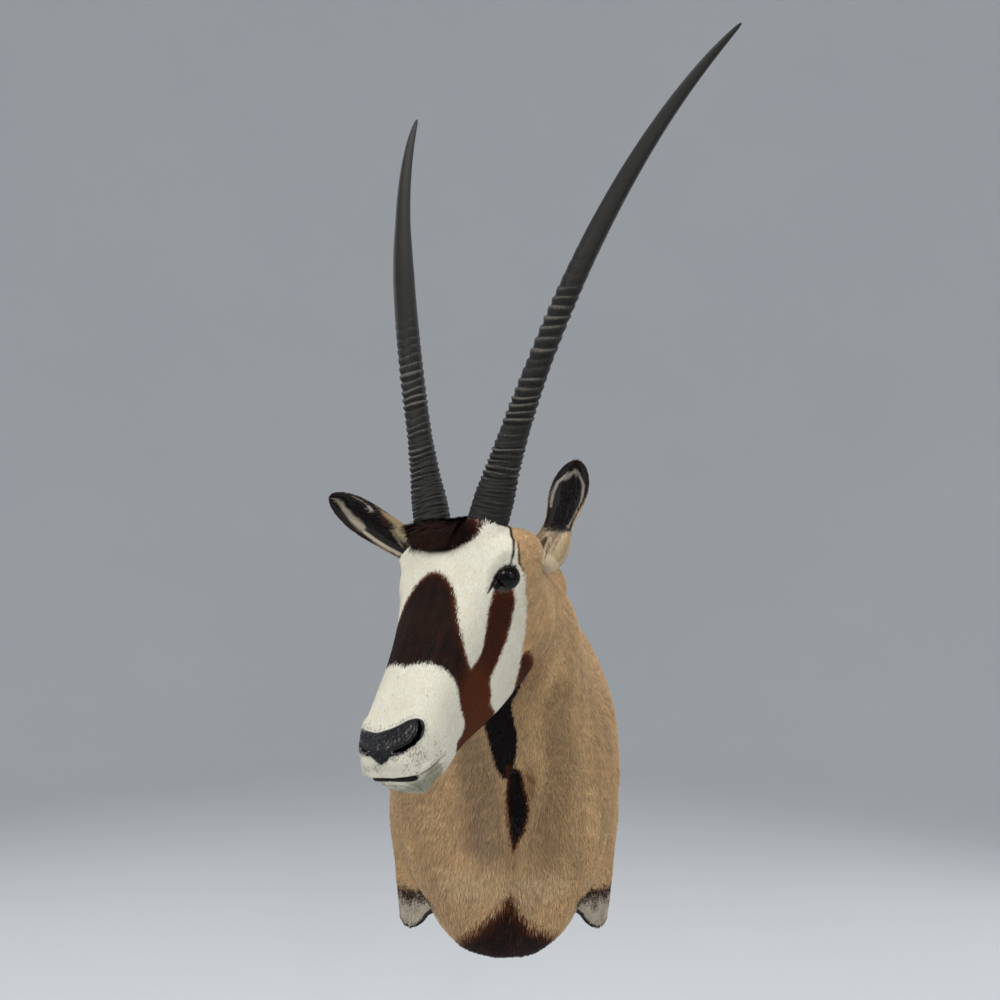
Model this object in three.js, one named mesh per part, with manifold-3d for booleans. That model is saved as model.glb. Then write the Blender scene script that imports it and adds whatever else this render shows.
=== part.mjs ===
// A gemsbok shoulder mount: the haired cape of head, neck and shoulders on its form, with both horns,
// both ears and glass eyes, on a plywood back board with a keyhole hanger plate.
// Millimetres, +Z up. The origin is the middle of the board's rear face, which lies on the wall plane Y = 0.
// The mount looks out along -Y, and +X is the animal's left. One group, one closed mesh for each piece.
import * as THREE from "three";
import { mergeVertices } from "three/addons/utils/BufferGeometryUtils.js";
import Module from "manifold-3d";

// Driving dimensions.
const GAP = 0.3; // clearance between neighbouring pieces
const SIDES = { left: 1, right: -1 };
const BOARD = { thickness: 18, inset: 14, points: 44 };
const HORN = { length: 786, root: 30, halfSpacing: 47.5, sides: 10, pathSteps: 400 };
const RING = { first: 9, last: 428, spacing: 8.2, growth: 0.013, height: 1.3, fade: 120 };
const EAR = { sides: 16, steps: 12, rootShare: 0.34 };
const EYE = { radius: 17.3, across: 76, up: -76, out: -34 };
const PLATE = { width: 64, height: 36, thickness: 2, corner: 6, z: 180, rear: -0.4 };
const KEYHOLE = { entry: 5.5, slot: 2.8, rise: 12, drop: 5 };
const POCKET = { halfWidth: 8, halfHeight: 14, depth: 8 };
const SCREW = { headRadius: 3.8, neckRadius: 1.8, headDepth: 2, length: 15, spacing: 46, sides: 12 };

// The head's own frame: across to the animal's left, up the face from nose to poll, and out from the face.
// Its origin is midway between the horn bases; the head is turned, lowered and tipped from the neck.
const HEAD_ORIGIN = new THREE.Vector3(-58.5, -483.5, 394.5);
const HEAD_YAW = THREE.MathUtils.degToRad(38.9);
const HEAD_PITCH = THREE.MathUtils.degToRad(33.7);
const HEAD_ROLL = THREE.MathUtils.degToRad(6.5);

const AXIS_X = new THREE.Vector3(1, 0, 0);
const AXIS_Z = new THREE.Vector3(0, 0, 1);
const FORWARD = new THREE.Vector3(0, -1, 0);
const HEAD_TURN = new THREE.Quaternion()
  .setFromAxisAngle(AXIS_Z, -HEAD_YAW)
  .multiply(new THREE.Quaternion().setFromAxisAngle(AXIS_X, -HEAD_PITCH))
  .multiply(new THREE.Quaternion().setFromAxisAngle(FORWARD, HEAD_ROLL));

// Sections of the head, nose to poll: [up, out] of the face line, [up, out] of the jaw line, half width,
// height share of the widest level, how much wider the face side is than the jaw side, and roundness.
const HEAD_SECTIONS = [
  { face: [-371, -28], jaw: [-366, -58], half: 20, level: 0.5, flare: 0, round: 0.9 },
  { face: [-367, -9], jaw: [-363, -75], half: 34, level: 0.5, flare: 0.08, round: 0.88 },
  { face: [-352, 7], jaw: [-350, -87], half: 44, level: 0.52, flare: 0.14, round: 0.85 },
  { face: [-312, 13], jaw: [-316, -98], half: 51, level: 0.54, flare: 0.2, round: 0.82 },
  { face: [-265, 12], jaw: [-276, -118], half: 51, level: 0.55, flare: 0.26, round: 0.82 },
  { face: [-214, 10], jaw: [-230, -150], half: 52, level: 0.6, flare: 0.26, round: 0.82 },
  { face: [-166, 10], jaw: [-179, -180], half: 58, level: 0.66, flare: 0.22, round: 0.82 },
  { face: [-119, 11], jaw: [-141, -192], half: 68, level: 0.7, flare: 0.2, round: 0.82 },
  { face: [-80, 12], jaw: [-119, -198], half: 86, level: 0.72, flare: 0.2, round: 0.84 },
  { face: [-39, 9], jaw: [-106, -206], half: 95, level: 0.72, flare: 0.18, round: 0.86 },
  { face: [-6, 0], jaw: [-96, -213], half: 88, level: 0.7, flare: 0.12, round: 0.9 },
  { face: [13, -27], jaw: [-88, -221], half: 78, level: 0.64, flare: 0.05, round: 0.95 },
];

// Sections of the neck and shoulders, throat to wall: top and bottom points, half width, how far the section
// still turns with the head, roundness, and how much it narrows towards the brisket.
const NECK_SECTIONS = [
  { top: [-20, -402, 372], base: [32, -376, 172], half: 74, turn: 0.7, round: 0.98, narrow: 0 },
  { top: [-6, -346, 353], base: [28, -368, 138], half: 78, turn: 0.48, round: 0.97, narrow: 0 },
  { top: [3, -284, 332], base: [21, -356, 91], half: 87, turn: 0.3, round: 0.95, narrow: 0 },
  { top: [5, -223, 310], base: [14, -339, 37], half: 100, turn: 0.15, round: 0.93, narrow: 0 },
  { top: [3, -166, 288], base: [7, -323, -20], half: 117, turn: 0.05, round: 0.9, narrow: 0 },
  { top: [0, -113, 272], base: [3, -305, -86], half: 136, turn: 0, round: 0.88, narrow: 0.04 },
  { top: [0, -74, 261], base: [0, -288, -156], half: 153, turn: 0, round: 0.86, narrow: 0.1 },
  { top: [0, -50, 256], base: [0, -267, -221], half: 168, turn: 0, round: 0.84, narrow: 0.2 },
  { top: [0, -33, 253], base: [0, -219, -262], half: 177, turn: 0, round: 0.8, narrow: 0.26 },
  { top: [0, -16, 251], base: [0, -121, -274], half: 181, turn: 0, round: 0.76, narrow: 0.24 },
  { top: [0, -1, 250], base: [0, -1, -271], half: 179, turn: 0, round: 0.74, narrow: 0.22 },
];
const CAPE_SIDES = 30;
const CAPE_STEPS = 42;

// The two leg tops hang from the shoulders beside the brisket, close to the wall.
const LEG = {
  inner: 92, // distance from the middle at which the leg starts
  rise: 44, // distance over which it comes in full
  drop: 130,
  spread: 19,
  front: -160, // Y at which it starts, towards the viewer
  fade: 105,
  from: -20, // Z below which the hide is drawn down
  over: 170,
  undercut: 0.28, // how fast the foot rises towards the viewer
  undercutFrom: -50, // Y ahead of which the foot rises
};
// The legs' lower outline: distance from the middle and Z there.
const LEG_FOOT = [
  [0, -290], [80, -290], [98, -243], [111, -240], [121, -246], [130, -258], [140, -265], [148, -266],
  [157, -262], [165, -250], [172, -226], [177, -198],
];

// Horn thickness: distance up the horn and radius there. Below 0 the horn is set in the head.
const HORN_RADII = [
  [-30, 26.6], [0, 26.4], [24, 26], [63, 21.8], [114, 18.7], [165, 16.8], [217, 15.6], [322, 14.8],
  [401, 14], [495, 12.5], [621, 9.5], [689, 7.5], [722, 6.3], [755, 4.6], [778, 2.9], [786, 1.6],
];
const RIGHT_HORN_SHARES = [
  [0, 0.93], [60, 0.91], [130, 0.91], [176, 0.98], [220, 1.04], [300, 1.09], [400, 1.1], [450, 1.05],
  [500, 0.94], [600, 0.93],
];
const HORN_UPPER_STATIONS = [475, 520, 565, 610, 655, 695, 730, 758, 775];
const SOCKET_REACH = 90; // how far up the horn its socket runs, clear of the skin

// Each ear's root, tip, the way its cup faces, its greatest half width, how far its middle is bent back, and
// its width in parts of the greatest, from root to tip.
const EAR_PLACES = {
  left: {
    root: [59, -478, 353.6],
    tip: [101, -364, 474],
    faces: [-0.25, -1, 0.15],
    halfWidth: 26.5,
    bend: 7,
    widths: [
      [0, 0.92], [0.08, 0.94], [0.18, 0.84], [0.27, 0.76], [0.36, 0.75], [0.45, 0.84], [0.56, 0.95],
      [0.68, 1], [0.78, 0.95], [0.86, 0.81], [0.91, 0.67], [0.955, 0.47], [1, 0.1],
    ],
  },
  right: {
    root: [-82, -383, 322],
    tip: [-248, -338, 423],
    faces: [0.3, -0.75, -0.55],
    halfWidth: 27.5,
    bend: -1,
    widths: [
      [0, 0.92], [0.08, 0.94], [0.27, 0.86], [0.36, 0.88], [0.45, 0.94], [0.56, 0.98], [0.68, 1],
      [0.78, 0.95], [0.86, 0.81], [0.91, 0.67], [0.955, 0.47], [1, 0.1],
    ],
  },
};
// Along the ear from root to tip: the depth of its back, and how far the cup follows that depth.
const EAR_BACK_DEPTHS = [[0, 0.9], [0.15, 0.85], [0.5, 0.62], [0.85, 0.5], [1, 0.3]];
const EAR_HOLLOWS = [[0, -0.75], [0.12, -0.45], [0.22, 0.2], [0.32, 0.6], [0.6, 0.74], [1, 0.5]];
const EAR_RIM_SHARE = 0.93;

const HIDE = new THREE.MeshStandardMaterial({ color: 0xb79468, roughness: 0.85 });
const HORN_BLACK = new THREE.MeshStandardMaterial({ color: 0x2c2a28, roughness: 0.5 });
const EAR_HIDE = new THREE.MeshStandardMaterial({ color: 0xd8cdb8, roughness: 0.85 });
const EYE_GLASS = new THREE.MeshStandardMaterial({ color: 0x0d0a08, roughness: 0.05 });
const PLYWOOD = new THREE.MeshStandardMaterial({ color: 0xc9a473, roughness: 0.7 });
const STEEL = new THREE.MeshStandardMaterial({ color: 0xa8abad, roughness: 0.4, metalness: 0.9 });

const wasm = await Module();
wasm.setup();

// A value between rows of [place, value], which stand in rising order of place.
function between(rows, place) {
  const next = rows.findIndex(([at]) => at >= place);
  if (next < 0) return rows[rows.length - 1][1];
  if (next === 0) return rows[0][1];
  const [a, va] = rows[next - 1];
  const [b, vb] = rows[next];
  return THREE.MathUtils.lerp(va, vb, (place - a) / (b - a));
}

// A signed power keeps a cosine's sign while it squares the section off or rounds it.
function signedPower(x, power) {
  return Math.sign(x) * Math.abs(x) ** power;
}

function inHead(across, up, out) {
  return new THREE.Vector3(across, -out, up).applyQuaternion(HEAD_TURN).add(HEAD_ORIGIN);
}

function headDirection(across, up, out) {
  return new THREE.Vector3(across, -out, up).applyQuaternion(HEAD_TURN);
}

// A closed mesh from rings of points, each ring closed and all with the same count, with flat ends.
function skinRings(rings) {
  const count = rings[0].length;
  const positions = rings.flat().flatMap((p) => [p.x, p.y, p.z]);
  const faces = [];
  for (let i = 0; i + 1 < rings.length; i++)
    for (let j = 0; j < count; j++) {
      const k = (j + 1) % count;
      const [a, b, c, d] = [i * count + j, i * count + k, (i + 1) * count + k, (i + 1) * count + j];
      faces.push(a, b, c, a, c, d);
    }
  capRing(rings[0], 0, true, faces);
  capRing(rings[rings.length - 1], (rings.length - 1) * count, false, faces);
  return outward(positions, faces);
}

// Triangles across one end ring, worked out in the ring's own plane.
function capRing(ring, first, flip, faces) {
  const middle = ring.reduce((sum, p) => sum.add(p), new THREE.Vector3()).divideScalar(ring.length);
  const across = ring[0].clone().sub(middle).normalize();
  const quarter = ring[Math.floor(ring.length / 4)].clone().sub(middle);
  const normal = new THREE.Vector3().crossVectors(across, quarter).normalize();
  const upward = new THREE.Vector3().crossVectors(normal, across);
  const flat = ring.map((p) => {
    const from = p.clone().sub(middle);
    return new THREE.Vector2(from.dot(across), from.dot(upward));
  });
  const turned = THREE.ShapeUtils.area(flat) < 0;
  for (const [a, b, c] of THREE.ShapeUtils.triangulateShape(flat, []))
    faces.push(...(flip === turned ? [a, b, c] : [a, c, b]).map((n) => n + first));
}

// The faces are turned to point out if the shape's signed volume comes out negative.
function outward(positions, faces) {
  const point = (n) => new THREE.Vector3().fromArray(positions, 3 * n);
  let volume = 0;
  for (let i = 0; i < faces.length; i += 3)
    volume += point(faces[i]).dot(point(faces[i + 1]).cross(point(faces[i + 2])));
  if (volume < 0) faces.reverse();
  const geometry = new THREE.BufferGeometry();
  geometry.setAttribute("position", new THREE.Float32BufferAttribute(positions, 3));
  return geometry.setIndex(faces);
}

function toSolid(geometry) {
  const bare = geometry.clone();
  bare.deleteAttribute("normal");
  bare.deleteAttribute("uv");
  const merged = mergeVertices(bare, 1e-4);
  return new wasm.Manifold(
    new wasm.Mesh({
      numProp: 3,
      vertProperties: merged.attributes.position.array,
      triVerts: new Uint32Array(merged.index.array),
    }),
  );
}

function toGeometry(solid) {
  const { vertProperties, triVerts } = solid.getMesh();
  const geometry = new THREE.BufferGeometry();
  geometry.setAttribute("position", new THREE.BufferAttribute(vertProperties, 3));
  return geometry.setIndex(new THREE.BufferAttribute(triVerts, 1));
}

function cut(solid, tools) {
  return tools.reduce((rest, tool) => rest.subtract(toSolid(tool)), solid);
}

// The cape's sections as one list with the same fields: top, base, lateral direction, and shape numbers.
function capeSections() {
  const lateral = headDirection(1, 0, 0);
  const head = HEAD_SECTIONS.map((s) => ({
    top: inHead(0, ...s.face),
    base: inHead(0, ...s.jaw),
    lateral,
    shape: [s.half, s.level, s.flare, s.flare, s.round],
  }));
  const neck = NECK_SECTIONS.map((s) => ({
    top: new THREE.Vector3(...s.top),
    base: new THREE.Vector3(...s.base),
    lateral: lateral.clone().multiplyScalar(s.turn).addScaledVector(AXIS_X, 1 - s.turn).normalize(),
    shape: [s.half, 0.5, 0, s.narrow, s.round],
  }));
  return [...head, ...neck];
}

// Catmull-Rom value at place t of a list of numbers.
function splineAt(values, t) {
  const last = values.length - 1;
  const i = Math.min(Math.floor(t), last - 1);
  const at = (n) => values[THREE.MathUtils.clamp(n, 0, last)];
  const [p0, p1, p2, p3] = [at(i - 1), at(i), at(i + 1), at(i + 2)];
  const f = t - i;
  const curve = (2 * p0 - 5 * p1 + 4 * p2 - p3) * f * f + (3 * p1 - p0 - 3 * p2 + p3) * f ** 3;
  return 0.5 * (2 * p1 + (p2 - p0) * f + curve);
}

function splineVector(vectors, t) {
  return new THREE.Vector3(...["x", "y", "z"].map((axis) => splineAt(vectors.map((v) => v[axis]), t)));
}

// One ring of the cape: a rounded section that is wide or narrow above and below its widest level.
function capeRing(sections, t) {
  const top = splineVector(sections.map((s) => s.top), t);
  const base = splineVector(sections.map((s) => s.base), t);
  const lateral = splineVector(sections.map((s) => s.lateral), t);
  const [half, level, flare, narrow, round] = [0, 1, 2, 3, 4].map((n) =>
    splineAt(sections.map((s) => s.shape[n]), t),
  );
  const rise = top.clone().sub(base);
  const height = rise.length();
  rise.normalize();
  lateral.addScaledVector(rise, -lateral.dot(rise)).normalize();
  const middle = base.clone().addScaledVector(rise, height * level);
  return Array.from({ length: CAPE_SIDES }, (_, j) => {
    const angle = (2 * Math.PI * j) / CAPE_SIDES;
    const co = signedPower(Math.cos(angle), round);
    const si = signedPower(Math.sin(angle), round);
    const width = half * (1 + flare * Math.max(co, 0) + narrow * Math.min(co, 0));
    const reach = co > 0 ? height * (1 - level) : height * level;
    return hangLeg(middle.clone().addScaledVector(lateral, width * si).addScaledVector(rise, reach * co));
  });
}

// Points low on the shoulders are drawn down and out into the leg tops.
function hangLeg(p) {
  const { smoothstep } = THREE.MathUtils;
  const near = smoothstep(p.y, LEG.front, LEG.front + LEG.fade);
  const low = smoothstep(-p.z, -LEG.from, -LEG.from + LEG.over);
  const side = smoothstep(Math.abs(p.x), LEG.inner, LEG.inner + LEG.rise);
  const share = near * low * side;
  if (share === 0) return p;
  p.x += Math.sign(p.x) * LEG.spread * share;
  const foot = between(LEG_FOOT, Math.abs(p.x)) - LEG.undercut * Math.min(p.y - LEG.undercutFrom, 0);
  p.z = Math.max(p.z - LEG.drop * share, Math.min(foot, p.z));
  return p;
}

function capeGeometry() {
  const sections = capeSections();
  const rings = Array.from({ length: CAPE_STEPS }, (_, i) =>
    capeRing(sections, ((sections.length - 1) * i) / (CAPE_STEPS - 1)),
  );
  return skinRings(rings);
}

// The horn's axis: it leaves the head leaning out and a little forward, then sweeps back and outward.
function hornAxis(side) {
  const { degToRad } = THREE.MathUtils;
  const directions = Array.from({ length: HORN.pathSteps }, (_, i) => {
    const f = i / (HORN.pathSteps - 1);
    const back = degToRad(-21.9 - 0.3 * side + (16.5 - 0.3 * side) * f + 16.3 * f * f);
    const outward = degToRad(15.3 + 0.7 * side + (9.7 + 2.3 * side) * f - 5.4 * f * f);
    const up = Math.cos(outward);
    return headDirection(side * Math.sin(outward), up * Math.cos(back), -up * Math.sin(back));
  });
  const points = [inHead(side * HORN.halfSpacing, 0, 0)];
  for (let i = 1; i < HORN.pathSteps; i++) {
    const step = directions[i].clone().add(directions[i - 1]);
    points.push(points[i - 1].clone().addScaledVector(step, HORN.length / (HORN.pathSteps - 1) / 2));
  }
  return { points, directions };
}

// The rings' ridges: distances up the horn, closer together near the head.
function ringDistances() {
  const ridges = [];
  for (let s = RING.first; s < RING.last; s += RING.spacing + RING.growth * s) ridges.push(s);
  return ridges;
}

// Stations up the horn: a ridge and the groove above it in turn, then wider steps to the tip.
function hornStations() {
  const ridges = ringDistances();
  const ringed = ridges.flatMap((s, i) => {
    const height = RING.height * Math.min(1, (RING.last - s) / RING.fade);
    const next = ridges[i + 1] ?? RING.last;
    return [[s, height], [(s + next) / 2, 0]];
  });
  const smooth = [...HORN_UPPER_STATIONS, HORN.length].map((s) => [s, 0]);
  return [[-HORN.root, 0], ...ringed, ...smooth];
}

// The right horn is thinner than the left near its base and tip, and stouter between.
function hornSlimness(side, s) {
  return side < 0 ? between(RIGHT_HORN_SHARES, s) : 1;
}

function hornGeometry(side, extra, stations) {
  const { points, directions } = hornAxis(side);
  const faceOut = headDirection(0, 0, 1);
  const rings = stations.map(([s, height]) => {
    const share = THREE.MathUtils.clamp(s / HORN.length, 0, 1) * (HORN.pathSteps - 1);
    const at = Math.min(Math.floor(share), HORN.pathSteps - 2);
    const along = directions[at].clone().lerp(directions[at + 1], share - at).normalize();
    const centre = points[at].clone().lerp(points[at + 1], share - at);
    centre.addScaledVector(along, Math.min(s, 0));
    const radius = between(HORN_RADII, s) * hornSlimness(side, s) + height + extra;
    const across = new THREE.Vector3().crossVectors(along, faceOut).normalize();
    const front = new THREE.Vector3().crossVectors(across, along);
    return Array.from({ length: HORN.sides }, (_, j) => {
      const angle = (2 * Math.PI * j) / HORN.sides;
      return centre
        .clone()
        .addScaledVector(across, radius * Math.cos(angle))
        .addScaledVector(front, radius * Math.sin(angle));
    });
  });
  return skinRings(rings);
}

function hornSocket(side) {
  const depth = -HORN.root - GAP;
  return hornGeometry(side, RING.height + GAP, [depth, 0, SOCKET_REACH / 2, SOCKET_REACH].map((s) => [s, 0]));
}

// An ear is a curved leaf, cupped on the side that it faces; its root is solid and set in the head.
function earGeometry(place, extra, share, hollow) {
  const root = new THREE.Vector3(...place.root);
  const along = new THREE.Vector3(...place.tip).sub(root);
  const length = along.length();
  along.normalize();
  const facing = new THREE.Vector3(...place.faces);
  facing.addScaledVector(along, -facing.dot(along)).normalize();
  const across = new THREE.Vector3().crossVectors(along, facing);
  const rings = Array.from({ length: EAR.steps + 1 }, (_, i) => {
    const s = (share * i) / EAR.steps;
    const half = place.halfWidth * between(place.widths, s);
    const centre = root.clone().addScaledVector(along, length * s - (i === 0 ? extra : 0));
    centre.addScaledVector(facing, -place.bend * Math.sin(Math.PI * s));
    const back = half * between(EAR_BACK_DEPTHS, s);
    const cup = hollow ? between(EAR_HOLLOWS, s) : between(EAR_HOLLOWS, 0);
    return Array.from({ length: EAR.sides }, (_, j) => {
      const angle = (2 * Math.PI * j) / EAR.sides;
      const si = Math.sin(angle);
      const width = (half + extra) * Math.cos(angle) * (si >= 0 ? 1 : EAR_RIM_SHARE);
      const depth = si >= 0 ? (back + extra) * si : -(back * cup - extra) * si;
      return centre.clone().addScaledVector(across, width).addScaledVector(facing, -depth);
    });
  });
  return skinRings(rings);
}

function eyeGeometry(side, extra) {
  const ball = new THREE.SphereGeometry(EYE.radius + extra, 14, 10);
  return ball.translate(...inHead(side * EYE.across, EYE.up, EYE.out).toArray());
}

// A flat outline in X and Z, given as a shape in x and y, carried back from one Y to another.
function slab(shape, front, rear) {
  const depth = rear - front;
  const solid = new THREE.ExtrudeGeometry(shape, { depth, bevelEnabled: false, curveSegments: 8 });
  return solid.rotateX(Math.PI / 2).translate(0, rear, 0);
}

// The board's egg outline follows the cape's rear edge, drawn in by its inset.
function boardShape(extra) {
  const edge = NECK_SECTIONS[NECK_SECTIONS.length - 1];
  const inset = BOARD.inset - extra;
  const middle = (edge.top[2] + edge.base[2]) / 2;
  const halfHeight = (edge.top[2] - edge.base[2]) / 2 - inset;
  const outline = Array.from({ length: BOARD.points }, (_, j) => {
    const angle = (2 * Math.PI * j) / BOARD.points;
    const co = signedPower(Math.cos(angle), edge.round);
    const si = signedPower(Math.sin(angle), edge.round);
    const half = (edge.half - inset) * (1 + edge.narrow * Math.min(co, 0));
    return new THREE.Vector2(half * si, middle + halfHeight * co);
  });
  return new THREE.Shape(outline);
}

// A rectangle with rounded corners, centred on (0, z).
function roundedShape(halfWidth, halfHeight, corner, z) {
  const shape = new THREE.Shape();
  const [x, low, high] = [halfWidth, z - halfHeight, z + halfHeight];
  shape.moveTo(-x + corner, low);
  shape.absarc(x - corner, low + corner, corner, -Math.PI / 2, 0);
  shape.absarc(x - corner, high - corner, corner, 0, Math.PI / 2);
  shape.absarc(-x + corner, high - corner, corner, Math.PI / 2, Math.PI);
  shape.absarc(-x + corner, low + corner, corner, Math.PI, 1.5 * Math.PI);
  return shape;
}

// The keyhole: a round way in below, and a narrow slot that rises to a round end.
function keyholePath() {
  const path = new THREE.Path();
  const entryZ = PLATE.z - KEYHOLE.drop;
  const meet = Math.asin(KEYHOLE.slot / KEYHOLE.entry);
  path.absarc(0, entryZ, KEYHOLE.entry, Math.PI / 2 + meet, Math.PI / 2 - meet + 2 * Math.PI);
  path.absarc(0, entryZ + KEYHOLE.rise, KEYHOLE.slot, 0, Math.PI);
  return path;
}

function plateShape(extra) {
  return roundedShape(PLATE.width / 2 + extra, PLATE.height / 2 + extra, PLATE.corner + extra, PLATE.z);
}

// A countersunk screw pointing into the board from the plate's rear face.
function screwGeometry(side, extra) {
  const profile = [
    new THREE.Vector2(0, 0),
    new THREE.Vector2(SCREW.headRadius + extra, 0),
    new THREE.Vector2(SCREW.neckRadius + extra, SCREW.headDepth),
    new THREE.Vector2(SCREW.neckRadius + extra, SCREW.length - SCREW.headDepth),
    new THREE.Vector2(0, SCREW.length + extra),
  ];
  const screw = new THREE.LatheGeometry(profile, SCREW.sides).rotateX(Math.PI);
  return screw.translate((side * SCREW.spacing) / 2, PLATE.rear, PLATE.z);
}

const group = new THREE.Group();

function addPiece(name, geometry, material) {
  const mesh = new THREE.Mesh(geometry, material);
  mesh.name = name;
  group.add(mesh);
}

const boardPocket = slab(boardShape(GAP), -BOARD.thickness - GAP, GAP);
const sockets = Object.entries(SIDES).flatMap(([name, side]) => [
  hornSocket(side),
  earGeometry(EAR_PLACES[name], GAP, EAR.rootShare, false),
  eyeGeometry(side, GAP),
]);
addPiece("cape", toGeometry(cut(toSolid(capeGeometry()), [boardPocket, ...sockets])), HIDE);

for (const [name, side] of Object.entries(SIDES)) {
  addPiece(`horn_${name}`, hornGeometry(side, 0, hornStations()), HORN_BLACK);
  addPiece(`ear_${name}`, earGeometry(EAR_PLACES[name], 0, 1, true), EAR_HIDE);
  addPiece(`eye_${name}`, toGeometry(toSolid(eyeGeometry(side, 0))), EYE_GLASS);
}

const plateFront = PLATE.rear - PLATE.thickness;
const recess = slab(plateShape(GAP), plateFront - GAP, 1);
const pocketShape = roundedShape(POCKET.halfWidth, POCKET.halfHeight, POCKET.halfWidth - 0.5, PLATE.z);
const pocket = slab(pocketShape, plateFront - POCKET.depth, 0);
const screwWays = [screwGeometry(1, GAP), screwGeometry(-1, GAP)];
const board = toSolid(slab(boardShape(0), -BOARD.thickness, 0));
addPiece("back_board", toGeometry(cut(board, [recess, pocket, ...screwWays])), PLYWOOD);

const pierced = plateShape(0);
pierced.holes.push(keyholePath());
const plate = toSolid(slab(pierced, plateFront, PLATE.rear));
addPiece("hanger_plate", toGeometry(cut(plate, screwWays)), STEEL);
addPiece("hanger_screw_1", toGeometry(toSolid(screwGeometry(1, 0))), STEEL);
addPiece("hanger_screw_2", toGeometry(toSolid(screwGeometry(-1, 0))), STEEL);

export default group;
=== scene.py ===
"""A gemsbok shoulder mount: the haired cape of head, neck and shoulders with horns, ears and glass eyes.

Lengths in the classes are millimetres and are turned to metres where a mesh is made. The head has its own
frame: across to the animal's left, up the face from nose to poll, and out from the face.
"""

import logging
import math
from dataclasses import dataclass, field
from enum import Enum
from typing import Any, Sequence

import bpy
import numpy as np
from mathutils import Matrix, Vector
from numpy.typing import NDArray


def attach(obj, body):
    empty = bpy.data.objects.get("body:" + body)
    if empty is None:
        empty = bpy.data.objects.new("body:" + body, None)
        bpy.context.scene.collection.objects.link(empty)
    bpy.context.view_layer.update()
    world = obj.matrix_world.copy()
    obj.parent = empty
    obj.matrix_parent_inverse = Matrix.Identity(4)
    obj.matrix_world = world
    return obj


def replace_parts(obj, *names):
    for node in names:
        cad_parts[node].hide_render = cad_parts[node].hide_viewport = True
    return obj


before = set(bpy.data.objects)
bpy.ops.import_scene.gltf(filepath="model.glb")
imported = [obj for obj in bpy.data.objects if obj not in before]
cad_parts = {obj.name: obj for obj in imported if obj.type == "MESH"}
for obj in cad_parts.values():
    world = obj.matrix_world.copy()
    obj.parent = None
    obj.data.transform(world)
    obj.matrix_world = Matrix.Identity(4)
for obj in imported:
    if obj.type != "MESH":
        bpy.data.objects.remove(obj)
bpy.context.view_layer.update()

LOG = logging.getLogger("gemsbok_mount")
MM = 0.001
BODY = "root"
SIDES = {"left": 1, "right": -1}
RINGS_END = {"left": 415.0, "right": 340.0}  # mm along each horn
REACH = 40.0  # mm from a marking's edge past which its distance no longer matters

Array = NDArray[np.float64]
Table = tuple[tuple[float, ...], ...]
Colour = tuple[float, float, float]


# ---------------------------------------------------------------- numbers


def srgb(red: int, green: int, blue: int) -> Colour:
    """A colour given as 0 to 255 display numbers, as linear light."""
    return tuple((c / 255) ** 2.2 for c in (red, green, blue))


def smoothstep(x: Array | float, low: float, high: float) -> Array:
    """0 below low and 1 above high, with a smooth rise 3f^2 - 2f^3 between."""
    f = np.clip((np.asarray(x, float) - low) / (high - low), 0, 1)
    return f * f * (3 - 2 * f)


def signed_power(x: Array, power: Array | float) -> Array:
    """|x| to a power, with the sign of x."""
    return np.sign(x) * np.abs(x) ** power


def unit(v: Array) -> Array:
    """Vectors along the last axis, each at length 1."""
    return v / np.maximum(np.linalg.norm(v, axis=-1, keepdims=True), 1e-9)


def between(x: Array, rows: Table) -> Array:
    """Linear interpolation in rows of (place, value)."""
    places, values = zip(*rows)
    return np.interp(x, places, values)


def spline(rows: Array, t: Array) -> Array:
    """Catmull-Rom curve through the rows: at t = 2.5 it is halfway from row 2 to row 3."""
    rows = np.asarray(rows, float)
    first = np.clip(np.floor(t).astype(int), 0, len(rows) - 2)
    f = (t - first)[..., None]
    p0, p1, p2, p3 = (rows[np.clip(first + n, 0, len(rows) - 1)] for n in (-1, 0, 1, 2))
    bend = (2 * p0 - 5 * p1 + 4 * p2 - p3) * f**2 + (3 * p1 - p0 - 3 * p2 + p3) * f**3
    return 0.5 * (2 * p1 + (p2 - p0) * f + bend)


def ripple(points: Array, size: float, seed: int) -> Array:
    """Smooth noise from about -1 to 1: the mean of nine sine waves in seeded directions, of wavelengths
    round the given size.
    """
    rng = np.random.default_rng(seed)
    waves = unit(rng.normal(size=(9, points.shape[-1]))) * (2 * np.pi / size) * rng.uniform(0.6, 1.6, (9, 1))
    shifts = rng.uniform(0, 2 * np.pi, 9)
    return sum(np.sin(points @ w + s) for w, s in zip(waves, shifts)) / 3.2


def path_distance(
    points: Array, path: Sequence[Sequence[float]], widths: Sequence[float] | None = None
) -> Array:
    """Distance from points to an open path of straight pieces, less the path's half width if that is given.

    Args:
        points: coordinates, with the last axis as long as a point of the path.
        path: the path's corners.
        widths: half width at each corner.

    Returns:
        The distance of each point, below 0 inside the path's width.
    """
    corners = np.asarray(path, float)
    halves = np.zeros(len(corners)) if widths is None else np.asarray(widths, float)
    best = np.full(points.shape[:-1], np.inf)
    for start, end, r0, r1 in zip(corners[:-1], corners[1:], halves[:-1], halves[1:]):
        way = end - start
        f = np.clip(((points - start) @ way) / (way @ way), 0, 1)
        gap = np.linalg.norm(points - start - f[..., None] * way, axis=-1)
        best = np.minimum(best, gap - (r0 + (r1 - r0) * f))
    return best


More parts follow.
